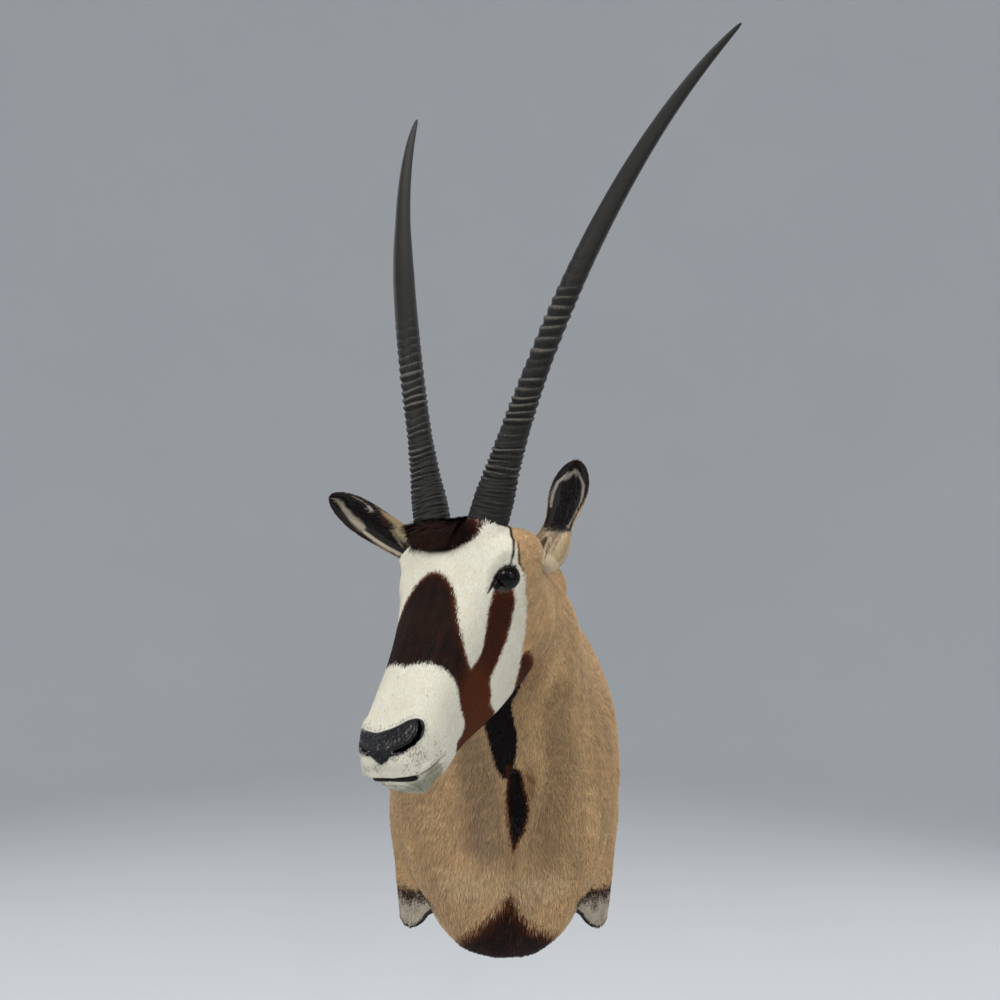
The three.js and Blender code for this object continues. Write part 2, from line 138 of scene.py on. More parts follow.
def outline_depth(points: Array, outline: Table, steps: int = 4) -> Array:
    """How deep points lie inside a closed outline, rounded by a Catmull-Rom curve: negative outside it.

    Args:
        points: two coordinates along the last axis.
        outline: the outline's corners in order.
        steps: straight pieces from each corner to the next.

    Returns:
        Signed distance to the outline, cut off at REACH.
    """
    count = len(outline)
    looped = np.asarray([outline[(i - 1) % count] for i in range(count + 3)], float)
    curve = spline(looped, 1 + np.arange(count * steps) / steps)
    flat = points.reshape(-1, 2)
    near = ((flat > curve.min(0) - REACH) & (flat < curve.max(0) + REACH)).all(1)
    p = flat[near]
    best = np.full(len(p), REACH**2)
    inside = np.zeros(len(p), bool)
    for start, end in zip(curve, np.roll(curve, -1, 0)):
        way = end - start
        f = np.clip(((p - start) @ way) / (way @ way), 0, 1)
        best = np.minimum(best, ((p - start - f[:, None] * way) ** 2).sum(1))
        crosses = (start[1] > p[:, 1]) != (end[1] > p[:, 1])
        slope = way[0] / (way[1] or 1e-9)
        inside ^= crosses & (p[:, 0] < start[0] + (p[:, 1] - start[1]) * slope)
    depth = np.full(len(flat), -REACH)
    depth[near] = np.where(inside, 1, -1) * np.sqrt(best)
    return depth.reshape(points.shape[:-1])


# ---------------------------------------------------------------- meshes


def grid_normals(points: Array, closed: bool = True) -> Array:
    """Unit normals of a grid, from the cross product of its differences along columns and along rows."""
    rows = np.gradient(points, axis=0)
    if closed:
        columns = np.roll(points, -1, 1) - np.roll(points, 1, 1)
    else:
        columns = np.gradient(points, axis=1)
    return unit(np.cross(columns, rows))


def grid_quads(rows: int, columns: int, closed: bool = True) -> Array:
    """Corner numbers of a grid's faces; a closed grid joins its last column to its first."""
    i = np.arange(rows - 1)[:, None] * columns
    j = np.arange(columns if closed else columns - 1)[None]
    k = (j + 1) % columns
    return np.stack([i + j, i + k, i + columns + k, i + columns + j], -1).reshape(-1, 4)


def closed_tube(rings: Array) -> tuple[Array, list[Array]]:
    """Vertices and faces of rings joined in a tube, with a fan to a middle point at each end."""
    rows, columns = rings.shape[:2]
    poles = rings[[0, -1]].mean(1)
    vertices = np.concatenate([rings.reshape(-1, 3), poles])
    j = np.arange(columns)
    k = (j + 1) % columns
    first, last = rows * columns, (rows - 1) * columns
    near = np.stack([np.full(columns, first), k, j], -1)
    far = np.stack([np.full(columns, first + 1), last + j, last + k], -1)
    return vertices, [grid_quads(rows, columns), near, far]


def facing_out(vertices: Array, faces: list[Array]) -> list[Array]:
    """The faces of a closed shape, turned round if its signed volume comes out negative."""
    volume = 0.0
    for group in faces:
        corners = vertices[group] - vertices.mean(0)
        for n in range(1, group.shape[1] - 1):
            volume += (corners[:, 0] * np.cross(corners[:, n], corners[:, n + 1])).sum()
    return faces if volume > 0 else [group[:, ::-1] for group in faces]


def blades(base: Array, middle: Array, tip: Array, sway: Array) -> tuple[Array, list[Array]]:
    """Vertices and faces of flat hairs of two faces each: pointed at both ends and widest in the middle."""
    vertices = np.stack([base, middle - sway, middle + sway, tip], 1).reshape(-1, 3)
    corner = np.arange(len(base))[:, None] * 4
    return vertices, [np.concatenate([corner + (0, 1, 2), corner + (1, 3, 2)])]


def blade_map(place: Array, size: float) -> Array:
    """Each hair's own small patch of the map, for its four corners."""
    patch = [place, place + (-size, size), place + (size, size), place + (0, 2 * size)]
    return np.stack(patch, 1).reshape(-1, 2) % 1


def add_piece(
    name: str,
    vertices: Array,
    faces: list[Array],
    finish: bpy.types.Material,
    attributes: dict[str, Array] | None = None,
    uv: tuple[str, Array] | None = None,
    smooth: bool = True,
) -> bpy.types.Object:
    """Makes one piece that rides on the mount.

    Args:
        name: the piece's name.
        vertices: points in millimetres.
        faces: arrays of corner numbers, one array for each count of corners.
        finish: its material.
        attributes: values at the vertices: three numbers make a colour, one makes a plain value.
        uv: a map's name and its two coordinates at each vertex.
        smooth: whether the faces are shaded smooth.

    Returns:
        The new object.
    """
    mesh = bpy.data.meshes.new(name)
    corners = np.concatenate([group.ravel() for group in faces]).astype(np.int32)
    sizes = np.concatenate([np.full(len(group), group.shape[1]) for group in faces])
    mesh.vertices.add(len(vertices))
    mesh.vertices.foreach_set("co", (vertices * MM).astype(np.float32).ravel())
    mesh.loops.add(len(corners))
    mesh.loops.foreach_set("vertex_index", corners)
    mesh.polygons.add(len(sizes))
    mesh.polygons.foreach_set("loop_start", (np.cumsum(sizes) - sizes).astype(np.int32))
    mesh.polygons.foreach_set("use_smooth", np.full(len(sizes), smooth))
    for key, values in (attributes or {}).items():
        if values.ndim == 2:
            layer = mesh.attributes.new(key, "FLOAT_COLOR", "POINT")
            padded = np.concatenate([values, np.ones((len(values), 1))], 1)
            layer.data.foreach_set("color", padded.astype(np.float32).ravel())
        else:
            mesh.attributes.new(key, "FLOAT", "POINT").data.foreach_set("value", values.astype(np.float32))
    if uv:
        layer = mesh.uv_layers.new(name=uv[0])
        layer.data.foreach_set("uv", uv[1][corners].astype(np.float32).ravel())
    mesh.update(calc_edges=True)
    mesh.validate()
    mesh.materials.append(finish)
    piece = bpy.data.objects.new(name, mesh)
    bpy.context.collection.objects.link(piece)
    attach(piece, BODY)
    LOG.info("%s: %d faces", name, len(mesh.polygons))
    return piece


# ---------------------------------------------------------------- finishes


class Wire:
    """A value in a material's nodes that takes arithmetic: each operator adds a Math node."""

    def __init__(self, tree: bpy.types.NodeTree, socket: bpy.types.NodeSocket) -> None:
        """Wraps one output socket."""
        self.tree = tree
        self.socket = socket

    def math(self, operation: str, *values: "Wire | float") -> "Wire":
        """A Math node on the values, as a new wire."""
        node = self.tree.nodes.new("ShaderNodeMath")
        node.operation = operation
        for socket, value in zip(node.inputs, values):
            if isinstance(value, Wire):
                self.tree.links.new(value.socket, socket)
            else:
                socket.default_value = value
        return Wire(self.tree, node.outputs[0])

    def __add__(self, other: "Wire | float") -> "Wire":
        """Sum."""
        return self.math("ADD", self, other)

    def __sub__(self, other: "Wire | float") -> "Wire":
        """Difference."""
        return self.math("SUBTRACT", self, other)

    def __rsub__(self, other: float) -> "Wire":
        """Difference from a number."""
        return self.math("SUBTRACT", other, self)

    def __mul__(self, other: "Wire | float") -> "Wire":
        """Product."""
        return self.math("MULTIPLY", self, other)

    __radd__ = __add__
    __rmul__ = __mul__

    def step(self, low: float, high: float) -> "Wire":
        """0 below low and 1 above high, smooth between."""
        node = self.tree.nodes.new("ShaderNodeMapRange")
        node.interpolation_type = "SMOOTHSTEP"
        self.tree.links.new(self.socket, node.inputs["Value"])
        node.inputs["From Min"].default_value = low
        node.inputs["From Max"].default_value = high
        return Wire(self.tree, node.outputs[0])


class Finish:
    """One material: a Principled shader and the nodes that feed it."""

    def __init__(self, name: str, **constants: Any) -> None:
        """Makes the material and sets the shader's constant sockets, named with _ for a space."""
        self.material = bpy.data.materials.new(name)
        self.material.use_nodes = True
        self.tree = self.material.node_tree
        self.shader = self.tree.nodes["Principled BSDF"]
        for key, value in constants.items():
            self.shader.inputs[key.replace("_", " ")].default_value = value

    def node(self, kind: str, settings: dict[str, Any] | None = None, **values: Any) -> bpy.types.Node:
        """Adds a node.

        Args:
            kind: the node's type.
            settings: its own settings, set before its sockets.
            values: numbers, wires or sockets for its inputs, named with _ for a space.

        Returns:
            The new node.
        """
        made = self.tree.nodes.new(kind)
        for key, value in (settings or {}).items():
            setattr(made, key, value)
        for key, value in values.items():
            self.feed(made.inputs[key.replace("_", " ")], value)
        return made

    def feed(self, socket: bpy.types.NodeSocket, value: Any) -> None:
        """Links a wire or socket to an input, or sets the input to a plain value."""
        if isinstance(value, Wire):
            value = value.socket
        if isinstance(value, bpy.types.NodeSocket):
            self.tree.links.new(value, socket)
        else:
            socket.default_value = value

    def wire(self, node: bpy.types.Node, output: str | int = 0) -> Wire:
        """One output of a node as a wire."""
        return Wire(self.tree, node.outputs[output])

    def attribute(self, name: str) -> bpy.types.Node:
        """A value or colour stored in the mesh."""
        return self.node("ShaderNodeAttribute", {"attribute_name": name})

    def mix(self, factor: Any, first: Any, second: Any, blend: str = "MIX") -> bpy.types.NodeSocket:
        """Two colours mixed."""
        made = self.node("ShaderNodeMix", {"data_type": "RGBA", "blend_type": blend})
        for place, value in ((0, factor), (6, first), (7, second)):
            plain = isinstance(value, tuple) and len(value) == 3
            self.feed(made.inputs[place], (*value, 1) if plain else value)
        return made.outputs[2]

    def noise(self, size: float, stretch: Colour = (1, 1, 1), detail: float = 4, uv: str = "") -> Wire:
        """Noise with features of about a size in metres, drawn on Object coordinates or on the piece's map.

        Args:
            size: the features' size.
            stretch: how many times finer the pattern is along each axis.
            detail: octaves.
            uv: the map's name, where the pattern follows the surface.

        Returns:
            The noise from 0 to 1.
        """
        if uv:
            place = self.node("ShaderNodeUVMap", {"uv_map": uv}).outputs[0]
        else:
            place = self.node("ShaderNodeTexCoord").outputs["Object"]
        put = self.node("ShaderNodeMapping", None, Vector=place, Scale=tuple(s / size for s in stretch))
        made = self.node("ShaderNodeTexNoise", None, Vector=put.outputs[0], Scale=1.0, Detail=detail)
        return self.wire(made)

    def shaded_coat(self, shade: Wire) -> bpy.types.NodeSocket:
        """The coat's colour, which is stored in the mesh, times a shade of grey."""
        grey = self.node("ShaderNodeCombineColor", None, Red=shade, Green=shade, Blue=shade)
        return self.mix(1.0, self.attribute("coat").outputs[0], grey.outputs[0], "MULTIPLY")

    def bump(self, height: Wire, distance: float, strength: float = 1.0) -> None:
        """Feeds the shader's Normal with a height in parts of a distance in metres."""
        node = self.node("ShaderNodeBump", None, Height=height, Distance=distance, Strength=strength)
        self.feed(self.shader.inputs["Normal"], node.outputs[0])

    def paint(self, **inputs: Any) -> bpy.types.Material:
        """Feeds the shader's inputs, named with _ for a space, and hands back the material."""
        for key, value in inputs.items():
            self.feed(self.shader.inputs[key.replace("_", " ")], value)
        return self.material


@dataclass(frozen=True)
class HideFinish:
    """Short coat seen from close by: the coat's colour with fine streaks along the hair."""

    streak: float = 0.0035
    roughness: float = 0.78

    def material(self) -> bpy.types.Material:
        """Colour from the mesh, darkened and lightened by stretched noise on the piece's map."""
        made = Finish("hide", Roughness=self.roughness)
        streaks = made.noise(self.streak, (1.0, 0.18, 1.0), 5, "coat_map")
        patches = made.noise(0.05, detail=2)
        made.bump(streaks, 0.0012, 0.6)
        return made.paint(Base_Color=made.shaded_coat(0.74 + 0.42 * streaks + 0.06 * patches))


@dataclass(frozen=True)
class FurFinish:
    """Hair: each blade has its own colour, a little glossy along its length."""

    name: str = "fur"
    roughness: float = 0.7
    gloss: float = 0.14

    def material(self) -> bpy.types.Material:
        """Colour from the blades, with soft patches of light and dark."""
        made = Finish(self.name, Roughness=self.roughness, Specular_IOR_Level=self.gloss)
        return made.paint(Base_Color=made.shaded_coat(0.96 + 0.08 * made.noise(0.03, detail=3)))


@dataclass(frozen=True)
class HornFinish:
    """Dark keratin: paler ridge crests, partly wear and partly a painted highlight, grooves darkened with
    painted shade, fine grain along the horn and a low polish.
    """

    # colour of the grooves: painted shade
    groove: Colour = srgb(8, 7, 7)
    keratin: Colour = srgb(34, 32, 28)
    wear_and_highlight: Colour = srgb(94, 90, 82)

    def material(self) -> bpy.types.Material:
        """Mixes the three colours by the relief stored in the mesh and by noise."""
        made = Finish("horn_keratin", Specular_IOR_Level=0.3)
        relief = made.wire(made.attribute("relief"), "Fac")
        grain = made.noise(0.012, (9, 1, 9), 6, "horn_map")
        flakes = made.noise(0.007, (1, 1.5, 1), 5, "horn_map")
        body = made.mix((relief + 0.35 * grain).step(0.3, 0.85), self.groove, self.keratin)
        # the high crests get a pale colour that is partly wear and partly a painted highlight
        colour = made.mix((relief + 0.7 * grain).step(1.06, 1.36) * 0.95, body, self.wear_and_highlight)
        made.bump(0.6 * grain + 0.4 * flakes, 0.0008, 0.7)
        return made.paint(Base_Color=colour, Roughness=0.44 + 0.26 * flakes)


@dataclass(frozen=True)
class PadFinish:
    """Bare nose leather: pebbled, blue-black and wet looking."""

    dark: Colour = srgb(4, 5, 7)
    pale: Colour = srgb(11, 12, 16)

    def material(self) -> bpy.types.Material:
        """A cell pattern gives pebbles; their tops are paler and their gloss varies."""
        made = Finish("nose_leather", Specular_IOR_Level=0.15, Coat_Weight=0.4, Coat_Roughness=0.08)
        place = made.node("ShaderNodeTexCoord").outputs["Object"]
        cells = made.wire(made.node("ShaderNodeTexVoronoi", None, Vector=place, Scale=520.0))
        cloud = made.noise(0.012)
        made.bump(1 - cells, 0.0009, 0.9)
        colour = made.mix((cloud + 0.3 * (1 - cells)).step(0.4, 1.1), self.dark, self.pale)
        return made.paint(Base_Color=colour, Roughness=0.3 + 0.25 * cloud)


@dataclass(frozen=True)
class LidFinish:
    """Bare dark skin of eyelids and lips, with fine creases."""

    dark: Colour = srgb(10, 8, 8)
    pale: Colour = srgb(34, 27, 25)

    def material(self) -> bpy.types.Material:
        """Dark skin with paler creases."""
        made = Finish("lid_skin", Coat_Weight=0.2)
        cloud = made.noise(0.004)
        made.bump(made.noise(0.0016), 0.0005, 0.6)
        colour = made.mix(cloud.step(0.45, 0.75), self.dark, self.pale)
        return made.paint(Base_Color=colour, Roughness=0.3 + 0.3 * cloud)


@dataclass(frozen=True)
class GlassFinish:
    """A glass eye: a dark brown iris round a wide pupil, under clear glass."""

    pupil: Colour = srgb(5, 4, 4)
    iris: Colour = srgb(30, 15, 9)
    white: Colour = srgb(120, 96, 78)

    def material(self) -> bpy.types.Material:
        """Rings by the distance from the pupil that is stored in the mesh."""
        made = Finish(
            "eye_glass", Roughness=0.08, Specular_IOR_Level=0.1, Coat_Weight=0.22, Coat_Roughness=0.02)
        reach = made.wire(made.attribute("reach"), "Fac")
        fibres = made.noise(0.0022, detail=5)
        iris = made.mix(fibres.step(0.3, 0.75), self.pupil, self.iris)
        ring = made.mix((reach + 0.06 * fibres).step(0.5, 0.62), self.pupil, iris)
        return made.paint(Base_Color=made.mix(reach.step(0.9, 1.05), ring, self.white))


@dataclass(frozen=True)
class WoodFinish:
    """Birch plywood: pale veneer with long grain and darker pores."""

    pale: Colour = srgb(206, 172, 124)
    dark: Colour = srgb(158, 116, 72)

    def material(self) -> bpy.types.Material:
        """Stretched noise for grain, with a fine pore pattern."""
        made = Finish("plywood")
        grain = made.noise(0.02, (1, 1, 0.08), 6)
        pores = made.noise(0.0015, (1, 1, 0.1), 3)
        rings = made.noise(0.05, (1, 1, 0.05), 3)
        made.bump(pores, 0.0004, 0.5)
        tone = (0.5 * grain + 0.3 * rings + 0.35 * pores).step(0.35, 0.85)
        return made.paint(Base_Color=made.mix(tone, self.pale, self.dark), Roughness=0.55 + 0.25 * pores)


@dataclass(frozen=True)
class SteelFinish:
    """Zinc-plated steel: soft mottle and fine rolling marks."""

    pale: Colour = srgb(196, 198, 200)
    dark: Colour = srgb(140, 143, 148)

    def material(self) -> bpy.types.Material:
        """Mottled zinc."""
        made = Finish("zinc_steel", Metallic=1.0)
        mottle = made.noise(0.006, detail=5)
        marks = made.noise(0.0012, (0.05, 1, 1), 2)
        made.bump(marks, 0.0001, 0.4)
        return made.paint(Base_Color=made.mix(mottle, self.pale, self.dark), Roughness=0.28 + 0.25 * mottle)


# ---------------------------------------------------------------- the form under the coat


@dataclass(frozen=True)
class HeadFrame:
    """The head's own frame: its origin lies midway between the horn bases."""

    origin: tuple[float, float, float] = (-58.5, -483.5, 394.5)
    yaw: float = 38.9
    pitch: float = 33.7
    roll: float = 6.5

    def axes(self) -> Array:
        """The directions across, up and out as a matrix's columns: the head is rolled, tipped and turned."""
        cy, sy = math.cos(math.radians(-self.yaw)), math.sin(math.radians(-self.yaw))
        cp, sp = math.cos(math.radians(-self.pitch)), math.sin(math.radians(-self.pitch))
        cr, sr = math.cos(math.radians(self.roll)), math.sin(math.radians(self.roll))
        turn = np.array([[cy, -sy, 0], [sy, cy, 0], [0, 0, 1]])
        tip = np.array([[1, 0, 0], [0, cp, -sp], [0, sp, cp]])
        roll = np.array([[cr, 0, -sr], [0, 1, 0], [sr, 0, cr]])
        stand = np.array([[1, 0, 0], [0, 0, -1], [0, 1, 0]], float)
        return turn @ tip @ roll @ stand

    def place(self, local: Array | Sequence[float]) -> Array:
        """Points of the head's frame in the mount's frame."""
        return np.asarray(self.origin) + np.asarray(local, float) @ self.axes().T

    def direction(self, local: Array | Sequence[float]) -> Array:
        """Directions of the head's frame in the mount's frame."""
        return np.asarray(local, float) @ self.axes().T

    def local(self, points: Array) -> Array:
        """Points of the mount's frame in the head's frame."""
        return (points - np.asarray(self.origin)) @ self.axes()


@dataclass(frozen=True)
class Swell:
    """A soft rise or hollow, alike on both sides of the head: height times exp(-distance^2), with the
    distance counted in its own reach across, up and out."""

    place: tuple[float, float, float]
    height: float
    reach: tuple[float, float, float]

    def lift(self, local: Array, across: Array | None = None) -> Array:
        """The rise at points; across may be given without its sign."""
        x = np.abs(local[..., 0]) if across is None else across
        there = np.stack([x, local[..., 1], local[..., 2]], -1)
        return self.height * np.exp(-(((there - self.place) / self.reach) ** 2).sum(-1))


@dataclass(frozen=True)
class EyeSocket:
    """Where an eye sits in the head's frame, and the shape of its opening round the line of sight."""

    across: float = 76.0
    up: float = -76.0
    out: float = -34.0
    radius: float = 17.5
    sight: tuple[float, float, float] = (0.79, -0.42, 0.45)
    corner: tuple[float, float, float] = (0.0, -0.85, 0.5)

    def centre(self, side: int) -> Array:
        """The ball's centre in the head's frame."""
        return np.array([side * self.across, self.up, self.out])

    def basis(self, side: int) -> Array:
        """Rows: towards the front corner, across the opening, and the line of sight, in the head's frame."""
        flip = np.array([side, 1, 1])
        sight = unit(np.array(self.sight) * flip)
        front = np.array(self.corner) * flip
        front = unit(front - (front @ sight) * sight)
        return np.stack([front, np.cross(sight, front), sight])


# Sections of the head, nose to poll: up and out of the face line, up and out of the jaw line, half width,
# height share of the widest level, how much wider the face side is than the jaw side, and roundness.
HEAD_SECTIONS: Table = (
    (-371, -28, -366, -58, 20, 0.5, 0, 0.9),
    (-367, -9, -363, -75, 34, 0.5, 0.08, 0.88),
    (-352, 7, -350, -87, 44, 0.52, 0.14, 0.85),
    (-312, 13, -316, -98, 51, 0.54, 0.2, 0.82),
    (-265, 12, -276, -118, 51, 0.55, 0.26, 0.82),
    (-214, 10, -230, -150, 52, 0.6, 0.26, 0.82),
    (-166, 10, -179, -180, 58, 0.66, 0.22, 0.82),
    (-119, 11, -141, -192, 68, 0.7, 0.2, 0.82),
    (-80, 12, -119, -198, 86, 0.72, 0.2, 0.84),
    (-39, 9, -106, -206, 95, 0.72, 0.18, 0.86),
    (-6, 0, -96, -213, 88, 0.7, 0.12, 0.9),
    (13, -27, -88, -221, 78, 0.64, 0.05, 0.95),
)
# Sections of the neck and shoulders, throat to wall: top point, bottom point, half width, how far the
# section still turns with the head, roundness, and how much it narrows towards the brisket.
NECK_SECTIONS: Table = (
    (-20, -402, 372, 32, -376, 172, 74, 0.7, 0.98, 0),
    (-6, -346, 353, 28, -368, 138, 78, 0.48, 0.97, 0),
    (3, -284, 332, 21, -356, 91, 87, 0.3, 0.95, 0),
    (5, -223, 310, 14, -339, 37, 100, 0.15, 0.93, 0),
    (3, -166, 288, 7, -323, -20, 117, 0.05, 0.9, 0),
    (0, -113, 272, 3, -305, -86, 136, 0, 0.88, 0.04),
    (0, -74, 261, 0, -288, -156, 153, 0, 0.86, 0.1),
    (0, -50, 256, 0, -267, -221, 168, 0, 0.84, 0.2),
    (0, -33, 253, 0, -219, -262, 177, 0, 0.8, 0.26),
    (0, -16, 251, 0, -121, -274, 181, 0, 0.76, 0.24),
    (0, -1, 250, 0, -1, -271, 179, 0, 0.74, 0.22),
)


@dataclass
class CapeForm:
    """The cape's outer surface: a place t counts its sections from nose (0) to wall (22), and an angle goes
    round each section from the top line towards the animal's left. Below t = 0 the nose is rounded off."""

    head: HeadFrame = HeadFrame()
    socket: EyeSocket = EyeSocket()
    chin_round: float = 7.0
    last: float = 22.0
    leg_inner: float = 92.0  # how far across the leg tops start
    leg_blend: float = 44.0  # and over what width they swell to their full size
    leg_spread: float = 19.0
    leg_drop: float = 130.0
    leg_foot: Table = (
        (0, -290), (80, -290), (98, -243), (111, -240), (121, -246), (130, -258), (140, -265), (148, -266),
        (157, -262), (165, -250), (172, -226), (177, -198))
    foot_back: float = -50.0  # in front of this the feet rise
    foot_slope: float = 0.28
    mouth: Table = (
        (0, -369, -17), (8, -369, -17), (23, -368, -20), (31, -366, -23), (45, -351, -33), (46, -338, -43),
        (48, -324, -48))
    nostril: Table = ((-343, 22), (-339, 32), (-331, 42), (-320, 47), (-311, 48), (-302, 44))
    nostril_widths: tuple[float, ...] = (1.4, 2.6, 3.2, 3.2, 2.8, 1.6)
    duct: Table = ((-83, 93), (-88, 89), (-94, 87), (-104.5, 83), (-112, 80))
    duct_widths: tuple[float, ...] = (5.5, 4.5, 3.0, 2.0, 1.0)
    swells: tuple[Swell, ...] = (
        Swell((86, -50, -22), 5.0, (18, 17, 17)),  # brow over the eye
        Swell((90, -18, -48), -5.0, (22, 20, 24)),  # temple
        Swell((82, -122, -52), 3.5, (18, 34, 15)),  # cheekbone
        Swell((66, -92, -135), 7.0, (34, 42, 40)),  # chewing muscle
        Swell((62, -168, -78), -5.0, (22, 36, 24)),  # hollow of the cheek
        Swell((0, -170, 12), 3.5, (26, 80, 20)),  # bridge of the nose
        Swell((54, -316, -34), 2.5, (16, 26, 20)),  # upper lip
        Swell((38, -318, 2), 2.5, (13, 18, 13)),  # wing of the nostril
        Swell((0, -338, 14), 2.0, (12, 14, 12)),  # between the nostrils
        Swell((0, -300, 14), -2.0, (26, 22, 12)),  # above the nose pad
        Swell((0, -352, -90), 4.0, (24, 18, 14)),  # chin
        Swell((42, -136, -172), 4.5, (26, 26, 30)),  # angle of the jaw
        Swell((79, -8, -62), 17.0, (24, 24, 27)),  # ear bases
        Swell((0, -78, 12), 3.0, (34, 26, 20)),  # forehead
    )
    flank: tuple[Swell, ...] = (  # on the animal's left only, in the mount's frame
        Swell((60, -395, 308), 14.0, (40, 34, 28)),
        Swell((92, -330, 246), 8.0, (40, 60, 46)),
        Swell((150, -52, 160), -7.0, (50, 80, 60)),
    )
    ear_foot: tuple[float, float, float] = (86, -4, -72)
    horn_foot: float = 47.5
    horn_way: tuple[float, float, float] = (0.264, 0.895, 0.36)
    collar: float = 27.8
    chest: tuple[Swell, ...] = (
        Swell((174, -60, -84), 6.0, (44, 80, 56)),
        Swell((74, -290, -128), 7.0, (44, 60, 50)),
        Swell((60, -240, -205), 5.0, (46, 60, 34)),
    )
    furrows: tuple[tuple[Table, float, float], ...] = (  # path seen from in front, width and depth
        (((14, 30), (15, -30), (14, -80), (11, -120), (8, -160)), 8.0, 9.0),
        (((-14, 70), (-12, 10), (-22, -50)), 15.0, 4.5),
        (((70, 200), (78, 90), (74, -10), (62, -90)), 16.0, 7.5),
        (((104, 120), (118, 20), (120, -60)), 14.0, 4.5),
        (((-70, 60), (-84, -30), (-92, -110)), 18.0, 5.25),
    )

    def sections(self, t: Array) -> tuple[Array, ...]:
        """Top point, base point, lateral direction and shape numbers of the sections at places t."""
        place, across = self.head.place, self.head.direction((1, 0, 0))
        rows = []
        for up, out, jaw_up, jaw_out, half, level, flare, roundness in HEAD_SECTIONS:
            ends = (*place((0, up, out)), *place((0, jaw_up, jaw_out)))
            rows.append((*ends, *across, half, level, flare, flare, roundness))
        for *ends, half, turn, roundness, narrow in NECK_SECTIONS:
            lateral = unit(across * turn + np.array([1 - turn, 0, 0]))
            rows.append((*ends, *lateral, half, 0.5, 0, narrow, roundness))
        found = spline(np.array(rows), np.clip(t, 0, self.last))
        return found[..., :3], found[..., 3:6], found[..., 6:9], found[..., 9:]

    def base(self, t: Array, angle: Array) -> Array:
        """The plain surface on a grid of places and angles: each section is a superellipse whose powers,
        widest level and flare come from the tables; the legs are then drawn down from the shoulders."""
        top, base, lateral, shape = self.sections(t)
        half, level, flare, narrow, roundness = (shape[:, n, None] for n in range(5))
        rise = top - base
        height = np.linalg.norm(rise, axis=-1, keepdims=True)
        rise = rise / height
        lateral = unit(lateral - (lateral * rise).sum(-1, keepdims=True) * rise)
        co = signed_power(np.cos(angle)[None], roundness)
        si = signed_power(np.sin(angle)[None], roundness)
        width = half * (1 + flare * np.maximum(co, 0) + narrow * np.minimum(co, 0))
        reach = np.where(co > 0, height * (1 - level), height * level)
        middle = (base + rise * height * shape[:, 1, None])[:, None]
        spread = lateral[:, None] * (width * si)[..., None] + rise[:, None] * (reach * co)[..., None]
        turn = np.clip(-t, 0, 1)[:, None, None] * np.pi / 2
        ahead = self.head.direction((0, -1, 0)) * self.chin_round
        return self.hang_legs(middle + spread * np.cos(turn) + ahead * np.sin(turn))

    def hang_legs(self, points: Array) -> Array:
        """Points low on the shoulders, beside the brisket, are drawn down and out into the leg tops."""
        x, y, z = (points[..., n] for n in range(3))
        share = smoothstep(y, -160, -55) * smoothstep(-z, 20, 190)
        share = share * smoothstep(np.abs(x), self.leg_inner, self.leg_inner + self.leg_blend)
        out = x + np.sign(x) * self.leg_spread * share
        lowest = np.minimum(self.foot_level(out, y), z)
        drawn = np.where(share > 0, np.maximum(z - self.leg_drop * share, lowest), z)
        return np.stack([out, y, drawn], -1)

    def foot_level(self, across: Array, y: Array) -> Array:
        """Height of the legs' cut ends: an arch across each leg that rises to the front."""
        return between(np.abs(across), self.leg_foot) - self.foot_slope * np.minimum(y - self.foot_back, 0)

    def chart(self, t: Array, angle: Array) -> Array:
        """Distance round each section from the top line, negative on the animal's right, on a grid."""
        fine = np.linspace(0, 2 * np.pi, 721)
        ring = self.base(t, fine)
        steps = np.linalg.norm(np.diff(ring, axis=1), axis=2)
        arc = np.concatenate([np.zeros((len(t), 1)), np.cumsum(steps, 1)], 1)
        place = np.mod(angle, 2 * np.pi) / (2 * np.pi) * 720
        first = np.minimum(place.astype(int), 719)
        f = place - first
        found = arc[:, first] * (1 - f) + arc[:, first + 1] * f
        return np.where(np.mod(angle, 2 * np.pi) <= np.pi, found, found - arc[:, -1:])

    def skin(self, t: Array, angle: Array, closed: bool = True) -> Array:
        """The modelled surface on a grid: the plain one moved along its normals by every rise, hollow,
        furrow and opening, and drawn to the eyeballs round the eyes."""
        points = self.base(t, angle)
        normals = grid_normals(points, closed)
        local = self.head.local(points)
        on_head = smoothstep(-t, -12.5, -10.5)[:, None]
        lift = sum(s.lift(local) for s in self.swells) * on_head
        lift = lift + self.mouth_lift(local) * on_head
        lift = lift + self.nostril_lift(local[..., 1], self.chart(t, angle))
        lift = lift + self.neck_lift(points, t, angle)
        lift = lift + self.ear_folds(local) + sum(s.lift(points, points[..., 0]) for s in self.flank)
        duct = path_distance(np.stack([local[..., 1], np.abs(self.chart(t, angle))], -1), self.duct)
        lift = lift - 2.0 * np.exp(-((duct / 3.2) ** 2)) * on_head
        points = points + normals * lift[..., None]
        return self.open_eyes(self.seat_horns(points))

    def ear_folds(self, local: Array) -> Array:
        """Wrinkles in rings round the foot of each ear."""
        gap = np.linalg.norm(self.mirrored(local) - self.ear_foot, axis=-1)
        return 1.1 * np.sin(gap * 1.15) * smoothstep(gap, 20, 26) * (1 - smoothstep(gap, 34, 46))

    def seat_horns(self, points: Array) -> Array:
        """Below each horn's foot the skin is pushed out to a collar that runs just outside the horn and
        widens downward; above the foot it is left inside the horn."""
        local = self.head.local(points)
        for side in SIDES.values():
            flip = np.array([side, 1, 1])
            way = unit(np.array(self.horn_way)) * flip
            gap = local - np.array([side * self.horn_foot, 0, 0])
            along = gap @ way
            radial = gap - along[..., None] * way
            reach = np.linalg.norm(radial, axis=-1)
            wanted = self.collar + 0.22 * np.maximum(-11 - along, 0)
            push = 3 * np.log1p(np.exp(np.clip((wanted - reach) / 3, -20, 20)))
            push = push * smoothstep(-along, 9, 13) * (1 - smoothstep(-along, 45, 75))
            local = local + unit(radial) * push[..., None]
        return self.head.place(local)

